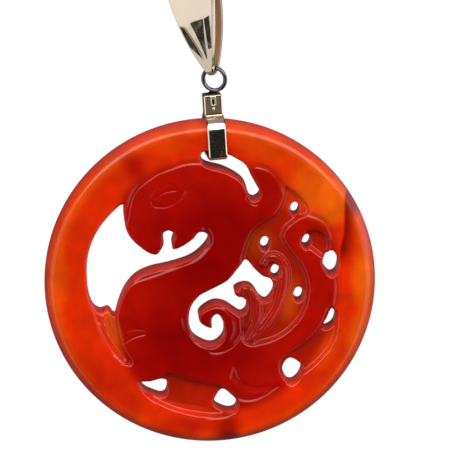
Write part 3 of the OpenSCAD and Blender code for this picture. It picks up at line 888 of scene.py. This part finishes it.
def stone():
    """The carved disc as one closed surface: a carved front and a flat back on the same grid,
    joined round the rim, and a wall round each opening."""
    low, high = node_box(STONE)
    centre = (low + high) / 2
    radius = (high[0] - low[0]) / 2
    half = (high[1] - low[1]) / 2
    field = np.array([radius - RING_SIDE, radius - RING_END])

    def outlines(depth):
        """Segments of the stone's section at a depth, round its centre, without its rim."""
        cuts = section(STONE, low[1] + depth) - centre[[0, 2]]
        return cuts[np.linalg.norm(cuts, axis=2).max(1) < radius - RIM_ROUND]

    gaps = outlines(half * PAST_MIDDLE)
    ring, direction = disc_grid(FIELD_RINGS + FACE_RINGS + RIM_RINGS)
    radii, rim_depth, worn = rim_profile(radius, half)
    flat = direction * radii[ring][:, None]
    flat, signed = snap_to_openings(flat, gaps, FINE_R / FIELD_RINGS)
    quads, thirds = sheet_faces(flat, signed, gaps)

    # Depths below the face, on the front and on the back
    relief, pillow = carved_depths(flat, outlines(OUTLINE_SHARE * GROUND_CUT), field)
    inner = ring <= FIELD_RINGS
    drop = edge_drop(np.maximum(signed, 0))
    front = rim_depth[ring] + worn[ring] + np.where(inner, relief + pillow + drop, 0)
    front += soft_waves(flat) * (ring < FIELD_RINGS + WAVE_RINGS)
    front = np.maximum(front, 0)
    back = rim_depth[ring] + np.where(inner, drop, 0)

    # The rim's outermost ring belongs to both sheets
    count = len(flat)
    last = ring == ring.max()
    back_number = np.where(last, np.arange(count), np.arange(count) + count)
    points = np.concatenate([
        np.column_stack([flat[:, 0], front - half, flat[:, 1]]),
        np.column_stack([flat[:, 0], half - back, flat[:, 1]])])
    edges = open_edges(quads, thirds)
    points, walls = opening_walls(points, edges[~last[edges].all(1)], count)
    faces = [quads, thirds, back_number[quads[:, ::-1]], back_number[thirds[:, ::-1]]] + walls

    # How sawn each point is, and its colour, with the painted glow of the openings' walls and edges
    wall_points = len(points) - 2 * count
    side = smoothstep(rim_depth[ring], *RIM_DULL)
    carved = np.maximum(side, GROUND_SAWN * smoothstep(relief, *CARVED_DULL) * inner)
    edge = np.abs(signed) < 1e-9
    sawn = np.concatenate([
        np.where(edge, EDGE_SAWN, carved), np.where(edge, EDGE_SAWN, side),
        np.full(wall_points, WALL_SAWN)])
    thinned = np.where(inner, relief, 0)
    tint = stone_tint(points, radius, np.concatenate([thinned, thinned, np.zeros(wall_points)]))
    # Painted glow: the openings' walls and edges turn to a lighter red, as light gets into them from both
    # sides
    walled = np.concatenate([edge, edge, np.ones(wall_points, bool)])
    tint = laid_over(tint, PAINTED_GLOW_RED, WALL_GLOW * walled)

    # Points that no face uses go
    kept = np.zeros(len(points), bool)
    for f in faces:
        kept[f.ravel()] = True
    renumber = np.cumsum(kept) - 1
    faces = [renumber[f] for f in faces]
    is_back = np.zeros(len(points), bool)
    is_back[count:2 * count] = (ring < ring.max() - RIM_RINGS) & (signed > EDGE_WIDE)
    piece = make_piece("stone", points[kept] + centre, faces, "pendant", STONE,
                       [polished_carnelian()])
    colours = np.column_stack([tint, np.ones(len(tint))])
    add_attribute(piece.data, "tint", "FLOAT_COLOR", "color", colours[kept])
    add_attribute(piece.data, "sawn", "FLOAT", "value", sawn[kept])
    thin_flat_back(piece, np.flatnonzero(is_back[kept]))


# Share of the flat back's faces that stay
BACK_KEPT = 0.48


def thin_flat_back(piece, numbers):
    """Joins the small faces of the flat back, which need no grid, into fewer and larger ones."""
    group = piece.vertex_groups.new(name="flat_back")
    group.add([int(n) for n in numbers], 1.0, "REPLACE")
    modifier = piece.modifiers.new("fewer_faces", "DECIMATE")
    modifier.vertex_group = "flat_back"
    modifier.ratio = BACK_KEPT
    bpy.context.view_layer.update()
    evaluated = piece.evaluated_get(bpy.context.evaluated_depsgraph_get())
    mesh = bpy.data.meshes.new_from_object(evaluated)
    piece.modifiers.clear()
    piece.vertex_groups.clear()
    piece.data = mesh
    mesh.shade_smooth()


def turned(points, spin, lean):
    """Points turned about z by spin degrees, then about y by lean degrees, as the right hand rule says."""
    c, s = math.cos(math.radians(spin)), math.sin(math.radians(spin))
    about_z = np.array([[c, -s, 0], [s, c, 0], [0, 0, 1]])
    c, s = math.cos(math.radians(lean)), math.sin(math.radians(lean))
    about_y = np.array([[c, 0, s], [0, 1, 0], [-s, 0, c]])
    return points @ (about_y @ about_z).T


def tube_faces(count, around, closed_path=True):
    """Four cornered faces of rings of points that follow one another, each closed on itself."""
    number = np.arange(count * around).reshape(count, around)
    after = np.roll(number, -1, 0)
    if not closed_path:
        number, after = number[:-1], after[:-1]
    return np.stack([number, after, np.roll(after, -1, 1), np.roll(number, -1, 1)], -1).reshape(-1, 4)


def capped(rings, low, high):
    """A closed body of rings of points that follow one another up an axis: points and faces. A fan
    of triangles closes each end, round a point on the axis at the heights low and high."""
    count, around = rings.shape[:2]
    points = np.concatenate([rings.reshape(-1, 3), [(0, 0, low), (0, 0, high)]])
    first = np.arange(around)
    last = first + (count - 1) * around
    low_point, high_point = np.full(around, count * around), np.full(around, count * around + 1)
    return points, [
        tube_faces(count, around, closed_path=False)[:, ::-1],
        np.column_stack([low_point, np.roll(first, -1), first]),
        np.column_stack([high_point, last, np.roll(last, -1)])]


def arc_points(centre, radius, start, end, count):
    """Points on an arc and the outward directions there, angles in degrees."""
    angle = np.radians(np.linspace(start, end, count))
    out = np.stack([np.cos(angle), np.sin(angle)], 1)
    return np.asarray(centre) + radius * out, out


def mirror_loop(points, out):
    """A half outline from the lowest to the highest point, and its mirror image back down."""
    flip = np.array([-1, 1])
    back = slice(-2, 0, -1)
    return np.concatenate([points, points[back] * flip]), np.concatenate([out, out[back] * flip])


# Points along the bail's side line: in each of its two bends, and along a leaf
BEND_STEPS, LEAF_STEPS = 24, 130


def bail_loop():
    """The bail's outer line from the side, and the outward directions: the fold's arc, the bow of
    the leaf and the crown's arc, each tangent to the next, and their mirror image."""
    fold_out = FOLD_R + BAIL_T
    crown_z = BAIL_H - CROWN_R
    span = crown_z - fold_out
    bow_z = fold_out + span / 2 + (CROWN_R - fold_out) * (2 * LEAF_BOW - CROWN_R - fold_out) / (2 * span)
    bow_y = math.sqrt((LEAF_BOW - fold_out) ** 2 - (bow_z - fold_out) ** 2)
    low = math.degrees(math.atan2(fold_out - bow_z, bow_y))
    high = math.degrees(math.atan2(crown_z - bow_z, bow_y))
    fold, fold_way = arc_points((0, fold_out), fold_out, -90, low, BEND_STEPS)
    leaf, leaf_way = arc_points((-bow_y, bow_z), LEAF_BOW, low, high, LEAF_STEPS)
    crown, crown_way = arc_points((0, crown_z), CROWN_R, high, 90, BEND_STEPS)
    points = np.concatenate([fold, leaf[1:], crown[1:]])
    return mirror_loop(points, np.concatenate([fold_way, leaf_way[1:], crown_way[1:]]))


# Where the arc of the bail's tip ends, in degrees below the level, and its least half width
TIP_END = 20.0
TIP_LEAST = 0.2
# The arcs of its sides are drawn on to a point this far above its top
PAST_TOP = 1


def bail_half_width(z):
    """Half the bail's width at a height: a round tip, then sides that open to the top in a wide arc.

    The arc's middle lies on the line that halves the chord from the tip's end to a point just
    above the top, so far away that its radius is SIDE_BOW.
    """
    turn = math.radians(TIP_END)
    start = TIP_R * np.array([math.cos(turn), 1 - math.sin(turn)])
    chord = np.array([BAIL_TOP_W / 2, BAIL_H + PAST_TOP]) - start
    length = math.hypot(*chord)
    away = math.sqrt(SIDE_BOW ** 2 - length ** 2 / 4)
    middle = start + chord / 2 + away * np.array([-chord[1], chord[0]]) / length
    tip = np.sqrt(np.maximum(TIP_R ** 2 - (np.minimum(z, start[1]) - TIP_R) ** 2, TIP_LEAST ** 2))
    return np.where(z < start[1], tip, middle[0] + np.sqrt(SIDE_BOW ** 2 - (z - middle[1]) ** 2))


# The cuts in the bail's front: [height of the top end, its left and right side, height of the
# foot, its left and right side, slant, wall]. Heights are millimetres above the tip, and sides are
# shares of the bail's half width. The top end falls by the slant for each millimetre to the right
# of the cut's left side, and the steep wall at its right side is that many millimetres wide.
BAIL_CUTS = [
    [7.95, -2.17, -0.69, 2.10, -0.20, 0.00, 0.70, 0.35],
    [7.95, -0.33, 0.40, 2.60, 0.12, 0.28, -0.12, 0.10],
    [8.30, 0.43, 0.75, 3.90, 0.43, 0.80, -0.25, 0.10],
]
# Slope of a cut's floor, its greatest depth, and over what length the walls at its ends rise
CUT_SLOPE = 0.18
CUT_DEEPEST = 0.36
CUT_END = 0.12
# Width and depth of the bevel down the leaf's right edge, and the heights between which it starts
LEAF_BEVEL_WIDE = 0.32
LEAF_BEVEL_DEEP = 0.29
BEVEL_START = (0.3, 1.5)
# How far the leaf curves back from its middle line to its sides, and where that starts
LEAF_CUSHION = 0.04
CUSHION_START = (0.3, 2.0)


def cut_front_depth(across, half, height):
    """How far the bail's front lies below its flat leaf: three long cuts, the bevel down its right
    edge, and a slight cushion that falls with the square of the way from the middle.

    A cut's floor is a flat facet that sinks evenly to the right, and a steep wall ends it
    there. Left of the leaf's edge there is nothing to cut, so the first cut starts there.
    """
    depth = LEAF_CUSHION * across ** 2 * smoothstep(height, *CUSHION_START)
    for top, top_left, top_right, foot, foot_left, foot_right, slant, wall_wide in BAIL_CUTS:
        share = (height - foot) / (top - foot)
        left = np.maximum(foot_left + share * (top_left - foot_left), -1)
        right = foot_right + share * (top_right - foot_right)
        reach = (across - left) * half
        floor = np.clip(CUT_SLOPE * reach, 0, CUT_DEEPEST)
        wall = smoothstep((right - across) * half, 0, wall_wide)
        top_here = top - slant * reach
        ends = smoothstep(top_here - height, 0, CUT_END) * smoothstep(height - foot, 0, CUT_END)
        depth = np.maximum(depth, floor * wall * ends)
    bevel = np.clip(1 - (1 - across) * half / LEAF_BEVEL_WIDE, 0, 1)
    return depth + LEAF_BEVEL_DEEP * bevel * smoothstep(height, *BEVEL_START)


# Steps across the bail's band, outside and inside, and the rounding of its edges
OUTER_STEPS, INNER_STEPS = 150, 30
BAND_CORNER = 0.09
# The cuts belong to the front leaf alone: they come in over this much of the loop's depth
FRONT_BLEND = 0.6


def bail():
    """The bail: a flat band carried round the bail's side line. Across, the band is a rounded
    rectangle, and the outer face of the front leaf has three long cuts."""
    line, out = bail_loop()
    sheets = []
    for inward, steps in ((0.0, OUTER_STEPS), (BAIL_T, INNER_STEPS)):
        outside = inward == 0
        base = line - inward * out
        half = bail_half_width(base[:, 1])[:, None]
        across = np.linspace(-1, 1, steps) if outside else np.linspace(1, -1, steps)
        x = half * across
        near = np.minimum((half - np.abs(x)) / BAND_CORNER, 1)
        shift = BAND_CORNER * (1 - np.sqrt(1 - (1 - near) ** 2))
        if outside:
            front = smoothstep(-base[:, :1], 0.0, FRONT_BLEND)
            shift = -shift - front * cut_front_depth(across[None, :], half, base[:, 1:])
        sheets.append(np.stack([x, base[:, :1] + shift * out[:, :1], base[:, 1:] + shift * out[:, 1:]], -1))
    rings = np.concatenate(sheets, 1)
    count, around = rings.shape[:2]
    faces = tube_faces(count, around)[:, ::-1]
    slots = np.tile((np.arange(around) >= OUTER_STEPS).astype(int), count)
    place = turned(rings.reshape(-1, 3) + (0, 0, BAIL_T - BAIL_H), -BAIL_TURN, -BAIL_LEAN)
    finishes = [metal("polished_rose_gold"), metal("satin_gold_inside")]
    make_piece("bail_loop", place, [faces], "bail", BAIL, finishes, slots)


def ring_centre():
    """The middle of the jump ring: below the bail's fold, along the bail's lean."""
    lean, turn = math.radians(BAIL_LEAN), math.radians(RING_TURN)
    drop = BAIL_H - BAIL_T - (FOLD_R + BAIL_T)
    radius = (RING_OD - RING_WIRE) / 2
    fold = drop * np.array([math.sin(lean), 0, -math.cos(lean)])
    return fold + radius * np.array([
        math.sin(lean) * math.cos(turn), -math.sin(lean) * math.sin(turn), -math.cos(lean)])


def clip_piece(name, points, faces, finishes, slots=None, crease=None):
    """One piece of the clip, given in the clip's own frame, whose origin is the jump ring's middle.
    All of them stand for one solid, because they are soldered or bent from one strip."""
    place = turned(points.reshape(-1, 3), CLIP_TURN, -CLIP_LEAN) + ring_centre() - (CLIP_SIDE, 0, 0)
    metals = [metal(finish) for finish in finishes]
    make_piece(name, place, faces, "pendant", CLIP, metals, slots, crease)


# Steps round the jump ring and round its wire
RING_STEPS, WIRE_STEPS = 96, 20
# The groove where the wire's ends meet: its depth, its place round the ring and its half width,
# the last two in radians
GROOVE_DEEP, GROOVE_TURN, GROOVE_WIDE = 0.03, 4.2, 0.05


def jump_ring():
    """The jump ring: a round wire carried round a circle. The wire is thinner by the exponential
    of the squared distance from the groove where its ends meet."""
    turn = np.linspace(0, 2 * math.pi, RING_STEPS, endpoint=False)[:, None]
    wire = np.linspace(0, 2 * math.pi, WIRE_STEPS, endpoint=False)[None, :]
    large = (RING_OD - RING_WIRE) / 2
    small = RING_WIRE / 2 - GROOVE_DEEP * np.exp(-((turn - GROOVE_TURN) / GROOVE_WIDE) ** 2)
    x = (large + small * np.cos(wire)) * np.cos(turn)
    z = (large + small * np.cos(wire)) * np.sin(turn)
    y = small * np.sin(wire) + 0 * turn
    place = turned(np.stack([x, y, z], -1).reshape(-1, 3), -RING_TURN, 0) + ring_centre()
    faces = tube_faces(RING_STEPS, WIRE_STEPS)
    make_piece("jump_ring", place, [faces], "pendant", CLIP, [metal("rhodium_plated_ring")])


def rounded_rectangle(width, depth, corner, steps=4):
    """Outline of a rectangle with round corners, middle at zero, as rows of across and out."""
    turn = np.radians(np.linspace(0, 90, steps + 1))
    quarter = np.stack([np.cos(turn), np.sin(turn)], 1) * corner
    parts = []
    for k, (sx, sz) in enumerate(((1, 1), (-1, 1), (-1, -1), (1, -1))):
        c, s = math.cos(k * math.pi / 2), math.sin(k * math.pi / 2)
        middle = np.array([sx * (width / 2 - corner), sz * (depth / 2 - corner)])
        parts.append(middle + quarter @ np.array([[c, s], [-s, c]]))
    return np.concatenate(parts)


def clip_heights():
    """Heights of the box's top, the strap's foot and the rim's middle in the clip's own frame,
    and half the stone's thickness."""
    low, high = node_box(STONE)
    radius = (high[0] - low[0]) / 2
    half = (high[1] - low[1]) / 2
    box_top = -RING_OD / 2 - SOLDER_H
    middle = box_top - BOX_H - STRAP_T - STONE_GAP - radius
    seat = middle + radius - RING_END - SEAT_INSET
    return box_top, seat - STONE_GAP - STRAP_T, middle + radius - RIM_ROUND, half


# Rounding of the box's top edges, and width of the step down into its window
BOX_CORNER = 0.12
STEP_WIDE = 0.02


def strap_line():
    """The strap's outer line from the side and the outward directions: the lower bend, the leaf,
    the arc over the stone's rim and the closed top of the box, then their mirror image."""
    box_top, foot, rim_z, half = clip_heights()
    leaf = half + STONE_GAP + STRAP_T
    rim_y = half - RIM_ROUND
    rim_r = RIM_ROUND + STONE_GAP + STRAP_T
    box_y = BOX_D / 2
    high = math.degrees(math.acos((box_y - rim_y) / rim_r))
    bend, bend_out = arc_points((leaf - STRAP_BEND, foot + STRAP_BEND), STRAP_BEND, -90, 0, 14)
    arc, arc_out = arc_points((rim_y, rim_z), rim_r, 0, high, 22)
    crown, crown_out = arc_points((box_y - BOX_CORNER, box_top - BOX_CORNER), BOX_CORNER, 0, 90, 6)
    bottom = np.linspace((0, foot), bend[0], 4)[:-1]
    leaf_rows = np.linspace(bend[-1], arc[0], 7)[1:-1]
    window_low, window_high = box_top - BOX_H + FRAME_W, box_top - FRAME_W
    heights = np.concatenate([
        [window_low - STEP_WIDE, window_low], np.linspace(window_low, window_high, 6)[1:-1],
        [window_high, window_high + STEP_WIDE]])
    side = np.column_stack([np.full(len(heights), box_y), heights])
    top = np.linspace(crown[-1], (0, box_top), 4)[1:]
    points = np.concatenate([bottom, bend, leaf_rows, arc, side, crown, top])
    down, level, up = (0.0, -1.0), (1.0, 0.0), (0.0, 1.0)
    out = np.concatenate([
        np.tile(down, (len(bottom), 1)), bend_out, np.tile(level, (len(leaf_rows), 1)), arc_out,
        np.tile(level, (len(side), 1)), crown_out, np.tile(up, (len(top), 1))])
    return mirror_loop(points, out)


# The bevel along the strap's front edges, and the rounding of all its edges
BEVEL_WIDE, BEVEL_DEEP, STRAP_CORNER = 0.17, 0.10, 0.04


def strap():
    """The strap: a flat bar with bevelled edges, carried round the strap's side line, with the
    shallow window in the front of its box."""
    box_top = clip_heights()[0]
    line, out = strap_line()
    half = STRAP_W / 2
    pane = half - FRAME_W
    # The middle of a round corner lies this far in from both of its sides
    soft = 0.3 * STRAP_CORNER
    outer = np.array([
        (half, BEVEL_DEEP + STRAP_CORNER), (half - soft, BEVEL_DEEP + soft), (half - BEVEL_WIDE, 0),
        (pane, 0), (pane - STEP_WIDE, 0), (pane / 3, 0)])
    outer = np.concatenate([outer, outer[::-1] * (-1, 1)])
    inner = np.array([(-half, STRAP_T - STRAP_CORNER), (-half + STRAP_CORNER, STRAP_T)])
    inner = np.concatenate([inner, inner[::-1] * (-1, 1)])
    bar = np.concatenate([outer, inner])
    points = np.empty((len(line), len(bar), 3))
    points[..., 0] = bar[:, 0]
    points[..., 1:] = line[:, None] - bar[:, 1, None] * out[:, None]
    in_window = (line[:, 0] < 0) & (np.abs(line[:, 1] - box_top + BOX_H / 2) < BOX_H / 2 - FRAME_W + 1e-6)
    in_pane = (bar[:, 1] == 0) & (np.abs(bar[:, 0]) < pane - STEP_WIDE / 2)
    points[..., 1] += WINDOW_CUT * (in_window[:, None] & in_pane)
    faces = tube_faces(len(line), len(bar))
    slots = (in_window[:, None] & in_pane).astype(int).ravel()
    finishes = ["polished_rose_gold_strap", "satin_gold_window"]
    clip_piece("strap", points, [faces], finishes, slots, crease=30)


# The tongue's section: [share of the way from its outer to its inner line, and from one to two on
# to the slot's middle, depth below the tongue's front]. The crest is round, and a floor of painted
# shade closes the slot.
TONGUE_SECTION = [
    (0, 0.38), (0, 0.14), (0.10, 0.05), (0.30, 0), (0.60, 0), (0.85, 0.05), (1, 0.14), (1, 0.24),
    (2, 0.24), (2, 0.38)]
# The row of it where the slot's black floor, painted shade, starts
SLOT_ROW = 7
# Rounding of the tongue's outer corners and of its slot's
TONGUE_CORNER, SLOT_CORNER = 0.2, 0.12


def tongue():
    """The folded tongue in the window: a flat bar bent into a long loop round its slot. Each row
    of its section is a line between the outer and the inner rounded rectangle."""
    box_top = clip_heights()[0]
    front = -BOX_D / 2 + WINDOW_CUT
    slot_h = TONGUE_L / 2
    outer = rounded_rectangle(TONGUE_W, TONGUE_L, TONGUE_CORNER) + (0, -TONGUE_L / 2)
    inner = rounded_rectangle(TONGUE_SLOT_W, slot_h, SLOT_CORNER)
    inner += (0, -TONGUE_L + TONGUE_SLOT_W / 2 + slot_h / 2)
    middle = np.tile(inner.mean(0), (len(outer), 1))
    points = np.empty((len(TONGUE_SECTION), len(outer), 3))
    for row, (share, depth) in zip(points, TONGUE_SECTION):
        line = outer * (1 - share) + inner * share if share <= 1 else middle
        row[:, [0, 2]] = line + (0, box_top)
        row[:, 1] = front - TONGUE_T + depth
    faces = tube_faces(*points.shape[:2])
    slots = np.repeat((np.arange(len(points)) >= SLOT_ROW).astype(int), len(outer))
    finishes = ["worn_rose_gold_tongue", "painted_shade_in_the_slot"]
    clip_piece("tongue", points, [faces], finishes, slots, crease=60)


# Height of the stud's dome
STUD_DOME = 0.12
# How deep the stud and the solder are rooted in the metal behind and below them
ROOT = 0.1


def stud():
    """The stud below the tongue: a short round pin with a domed head, a quarter ellipse turned
    about the pin's axis."""
    box_top = clip_heights()[0]
    radius = STUD_D / 2
    rise = np.radians(np.linspace(0, 90, 7))[:-1]
    dome = np.column_stack([radius * np.cos(rise), TONGUE_T - STUD_DOME + STUD_DOME * np.sin(rise)])
    profile = np.concatenate([[(radius, -ROOT)], dome])
    turn = np.linspace(0, 2 * math.pi, 24, endpoint=False)
    across, along = profile[:, :1], profile[:, 1:]
    rings = np.stack([across * np.cos(turn), across * np.sin(turn), along + 0 * turn], -1)
    points, faces = capped(rings, -ROOT, TONGUE_T)
    # The pin's axis points to the front
    points = points[:, [0, 2, 1]] * (1, -1, 1)
    points += (0, -BOX_D / 2 + WINDOW_CUT, box_top - TONGUE_L - STUD_D)
    clip_piece("stud", points, faces, ["worn_rose_gold_stud"], crease=50)


# The solder's mound: [share of its outline at the box, height above the box]
SOLDER_LEVELS = [(1.0, -ROOT), (1.0, 0.02), (0.93, 0.10), (0.76, 0.16), (0.5, 0.24), (0.32, 0.34)]
SOLDER_CORNER = 0.5


def solder():
    """The solder below the jump ring: a low mound that climbs a little round the wire, as shrinking
    copies of one rounded rectangle."""
    box_top = clip_heights()[0]
    levels = np.array(SOLDER_LEVELS)
    loop = rounded_rectangle(SOLDER_W, SOLDER_D, SOLDER_CORNER, 6)
    rings = np.empty((len(levels), len(loop), 3))
    rings[..., :2] = loop * levels[:, None, :1]
    rings[..., 2] = box_top + levels[:, None, 1]
    points, faces = capped(rings, rings[0, 0, 2], rings[-1, 0, 2])
    clip_piece("solder", points, faces, ["silver_solder"])


# The room as the polished faces show it, soft boxes and all: [name, turn, rise, half angle of
# the box, its soft edge, brightness]. The turn runs from the camera's side, positive to the
# right. All angles are degrees.
ROOM = [
    ["key box, left part", -38, 36, 16, 9, 3.2],
    ["key box, middle", 4, 36, 16, 9, 3.2],
    ["key box, right part", 46, 36, 16, 9, 3.2],
    ["left box", -60, -2, 20, 10, 0.95],
    ["low left box", -52, -34, 12, 12, 0.70],
    ["right box", 84, 0, 22, 12, 1.35],
    ["strip box, front right", 42, -20, 18, 4, 0.9],
    ["overhead", 0, 108, 38, 20, 0.3],
    ["box behind, right", 130, 0, 16, 10, 1.2],
    ["paper behind", 180, 6, 30, 16, 0.06],
]
ROOM_DARK = 0.012


def studio():
    """A dark room with soft boxes. White paper fills what the camera sees of it."""
    world = bpy.data.worlds.new("studio")
    bpy.context.scene.world = world
    world.use_nodes = True
    tree = world.node_tree
    tree.nodes.clear()
    way = add_node(tree, "ShaderNodeTexCoord").outputs["Generated"]
    total = None
    for name, turn, rise, half_angle, edge, brightness in ROOM:
        a, e = math.radians(turn), math.radians(rise)
        middle = (math.sin(a) * math.cos(e), -math.cos(a) * math.cos(e), math.sin(e))
        facing = add_node(tree, "ShaderNodeVectorMath", {0: way, 1: middle}, operation="DOT_PRODUCT",
                          label=name)
        glow = add_node(tree, "ShaderNodeMapRange", {
            "Value": facing.outputs["Value"], "From Min": math.cos(math.radians(half_angle + edge)),
            "From Max": math.cos(math.radians(half_angle)), "To Min": 0.0, "To Max": brightness},
            interpolation_type="SMOOTHSTEP")
        light = glow.outputs["Result"]
        if total is not None:
            light = add_node(tree, "ShaderNodeMath", {0: total, 1: light}, operation="MAXIMUM").outputs[0]
        total = light
    room = add_node(tree, "ShaderNodeMath", {0: total, 1: ROOM_DARK}, operation="ADD").outputs[0]
    dim = add_node(tree, "ShaderNodeBackground", {"Color": (1, 1, 1, 1), "Strength": room})
    white = add_node(tree, "ShaderNodeBackground", {"Color": (1, 1, 1, 1), "Strength": 1.0})
    seen = add_node(tree, "ShaderNodeLightPath").outputs["Is Camera Ray"]
    mix = add_node(tree, "ShaderNodeMixShader", {
        0: seen, 1: dim.outputs["Background"], 2: white.outputs["Background"]})
    add_node(tree, "ShaderNodeOutputWorld", {"Surface": mix.outputs["Shader"]})


# The floor: how far below the pendant it lies, its half width, and where it starts and ends
FLOOR_DROP = 60.0
FLOOR_HALF = 1600.0
FLOOR_FRONT = -40.0
FLOOR_BACK = 2400.0


def paper_floor():
    """White studio paper on the floor. The camera sees it burnt out to white; to the pendant it is painted
    grey, as shade.
    """
    low, _ = cad_bounds
    z = low[2] / MM - FLOOR_DROP
    corners = np.array([
        (-FLOOR_HALF, FLOOR_FRONT, z), (FLOOR_HALF, FLOOR_FRONT, z),
        (FLOOR_HALF, FLOOR_BACK, z), (-FLOOR_HALF, FLOOR_BACK, z)])
    mesh = bpy.data.meshes.new("paper_floor")
    mesh.from_pydata((corners * MM).tolist(), [], [(0, 1, 2, 3)])
    floor = bpy.data.objects.new("paper_floor", mesh)
    bpy.context.scene.collection.objects.link(floor)
    material, tree = new_material("paper_in_painted_shade")
    # Painted shade: the light the floor sends back to the pendant is grey
    matt = add_node(tree, "ShaderNodeBsdfDiffuse", {"Color": linear(SHADED_FLOOR)})
    burnt_out = add_node(tree, "ShaderNodeEmission", {"Color": (1, 1, 1, 1), "Strength": 1.0})
    seen = add_node(tree, "ShaderNodeLightPath").outputs["Is Camera Ray"]
    mix = add_node(tree, "ShaderNodeMixShader", {
        0: seen, 1: matt.outputs["BSDF"], 2: burnt_out.outputs["Emission"]})
    add_node(tree, "ShaderNodeOutputMaterial", {"Surface": mix.outputs["Shader"]})
    mesh.materials.append(material)


def camera():
    """A long lens, aimed so that the disc and the bail lie as in the reference view."""
    low, high = node_box(STONE)
    centre = (low + high) / 2
    turn, rise = math.radians(VIEW_TURN), math.radians(VIEW_RISE)
    back = np.array([math.sin(turn) * math.cos(rise), -math.cos(turn) * math.cos(rise), math.sin(rise)])
    right = np.array([math.cos(turn), math.sin(turn), 0])
    up = np.cross(back, right)
    aim = centre + VIEW_RIGHT * right + VIEW_UP * up
    data = bpy.data.cameras.new("camera")
    data.lens = data.sensor_width * VIEW_DISTANCE / VIEW_WIDTH
    data.clip_end = VIEW_END * MM
    holder = bpy.data.objects.new("camera", data)
    bpy.context.scene.collection.objects.link(holder)
    holder.location = Vector((aim + VIEW_DISTANCE * back) * MM)
    holder.rotation_euler = Vector(-back).to_track_quat("-Z", "Y").to_euler()
    bpy.context.scene.camera = holder


camera()
studio()
paper_floor()
stone()
bail()
jump_ring()
solder()
strap()
tongue()
stud()
bpy.context.scene.view_settings.view_transform = "Standard"
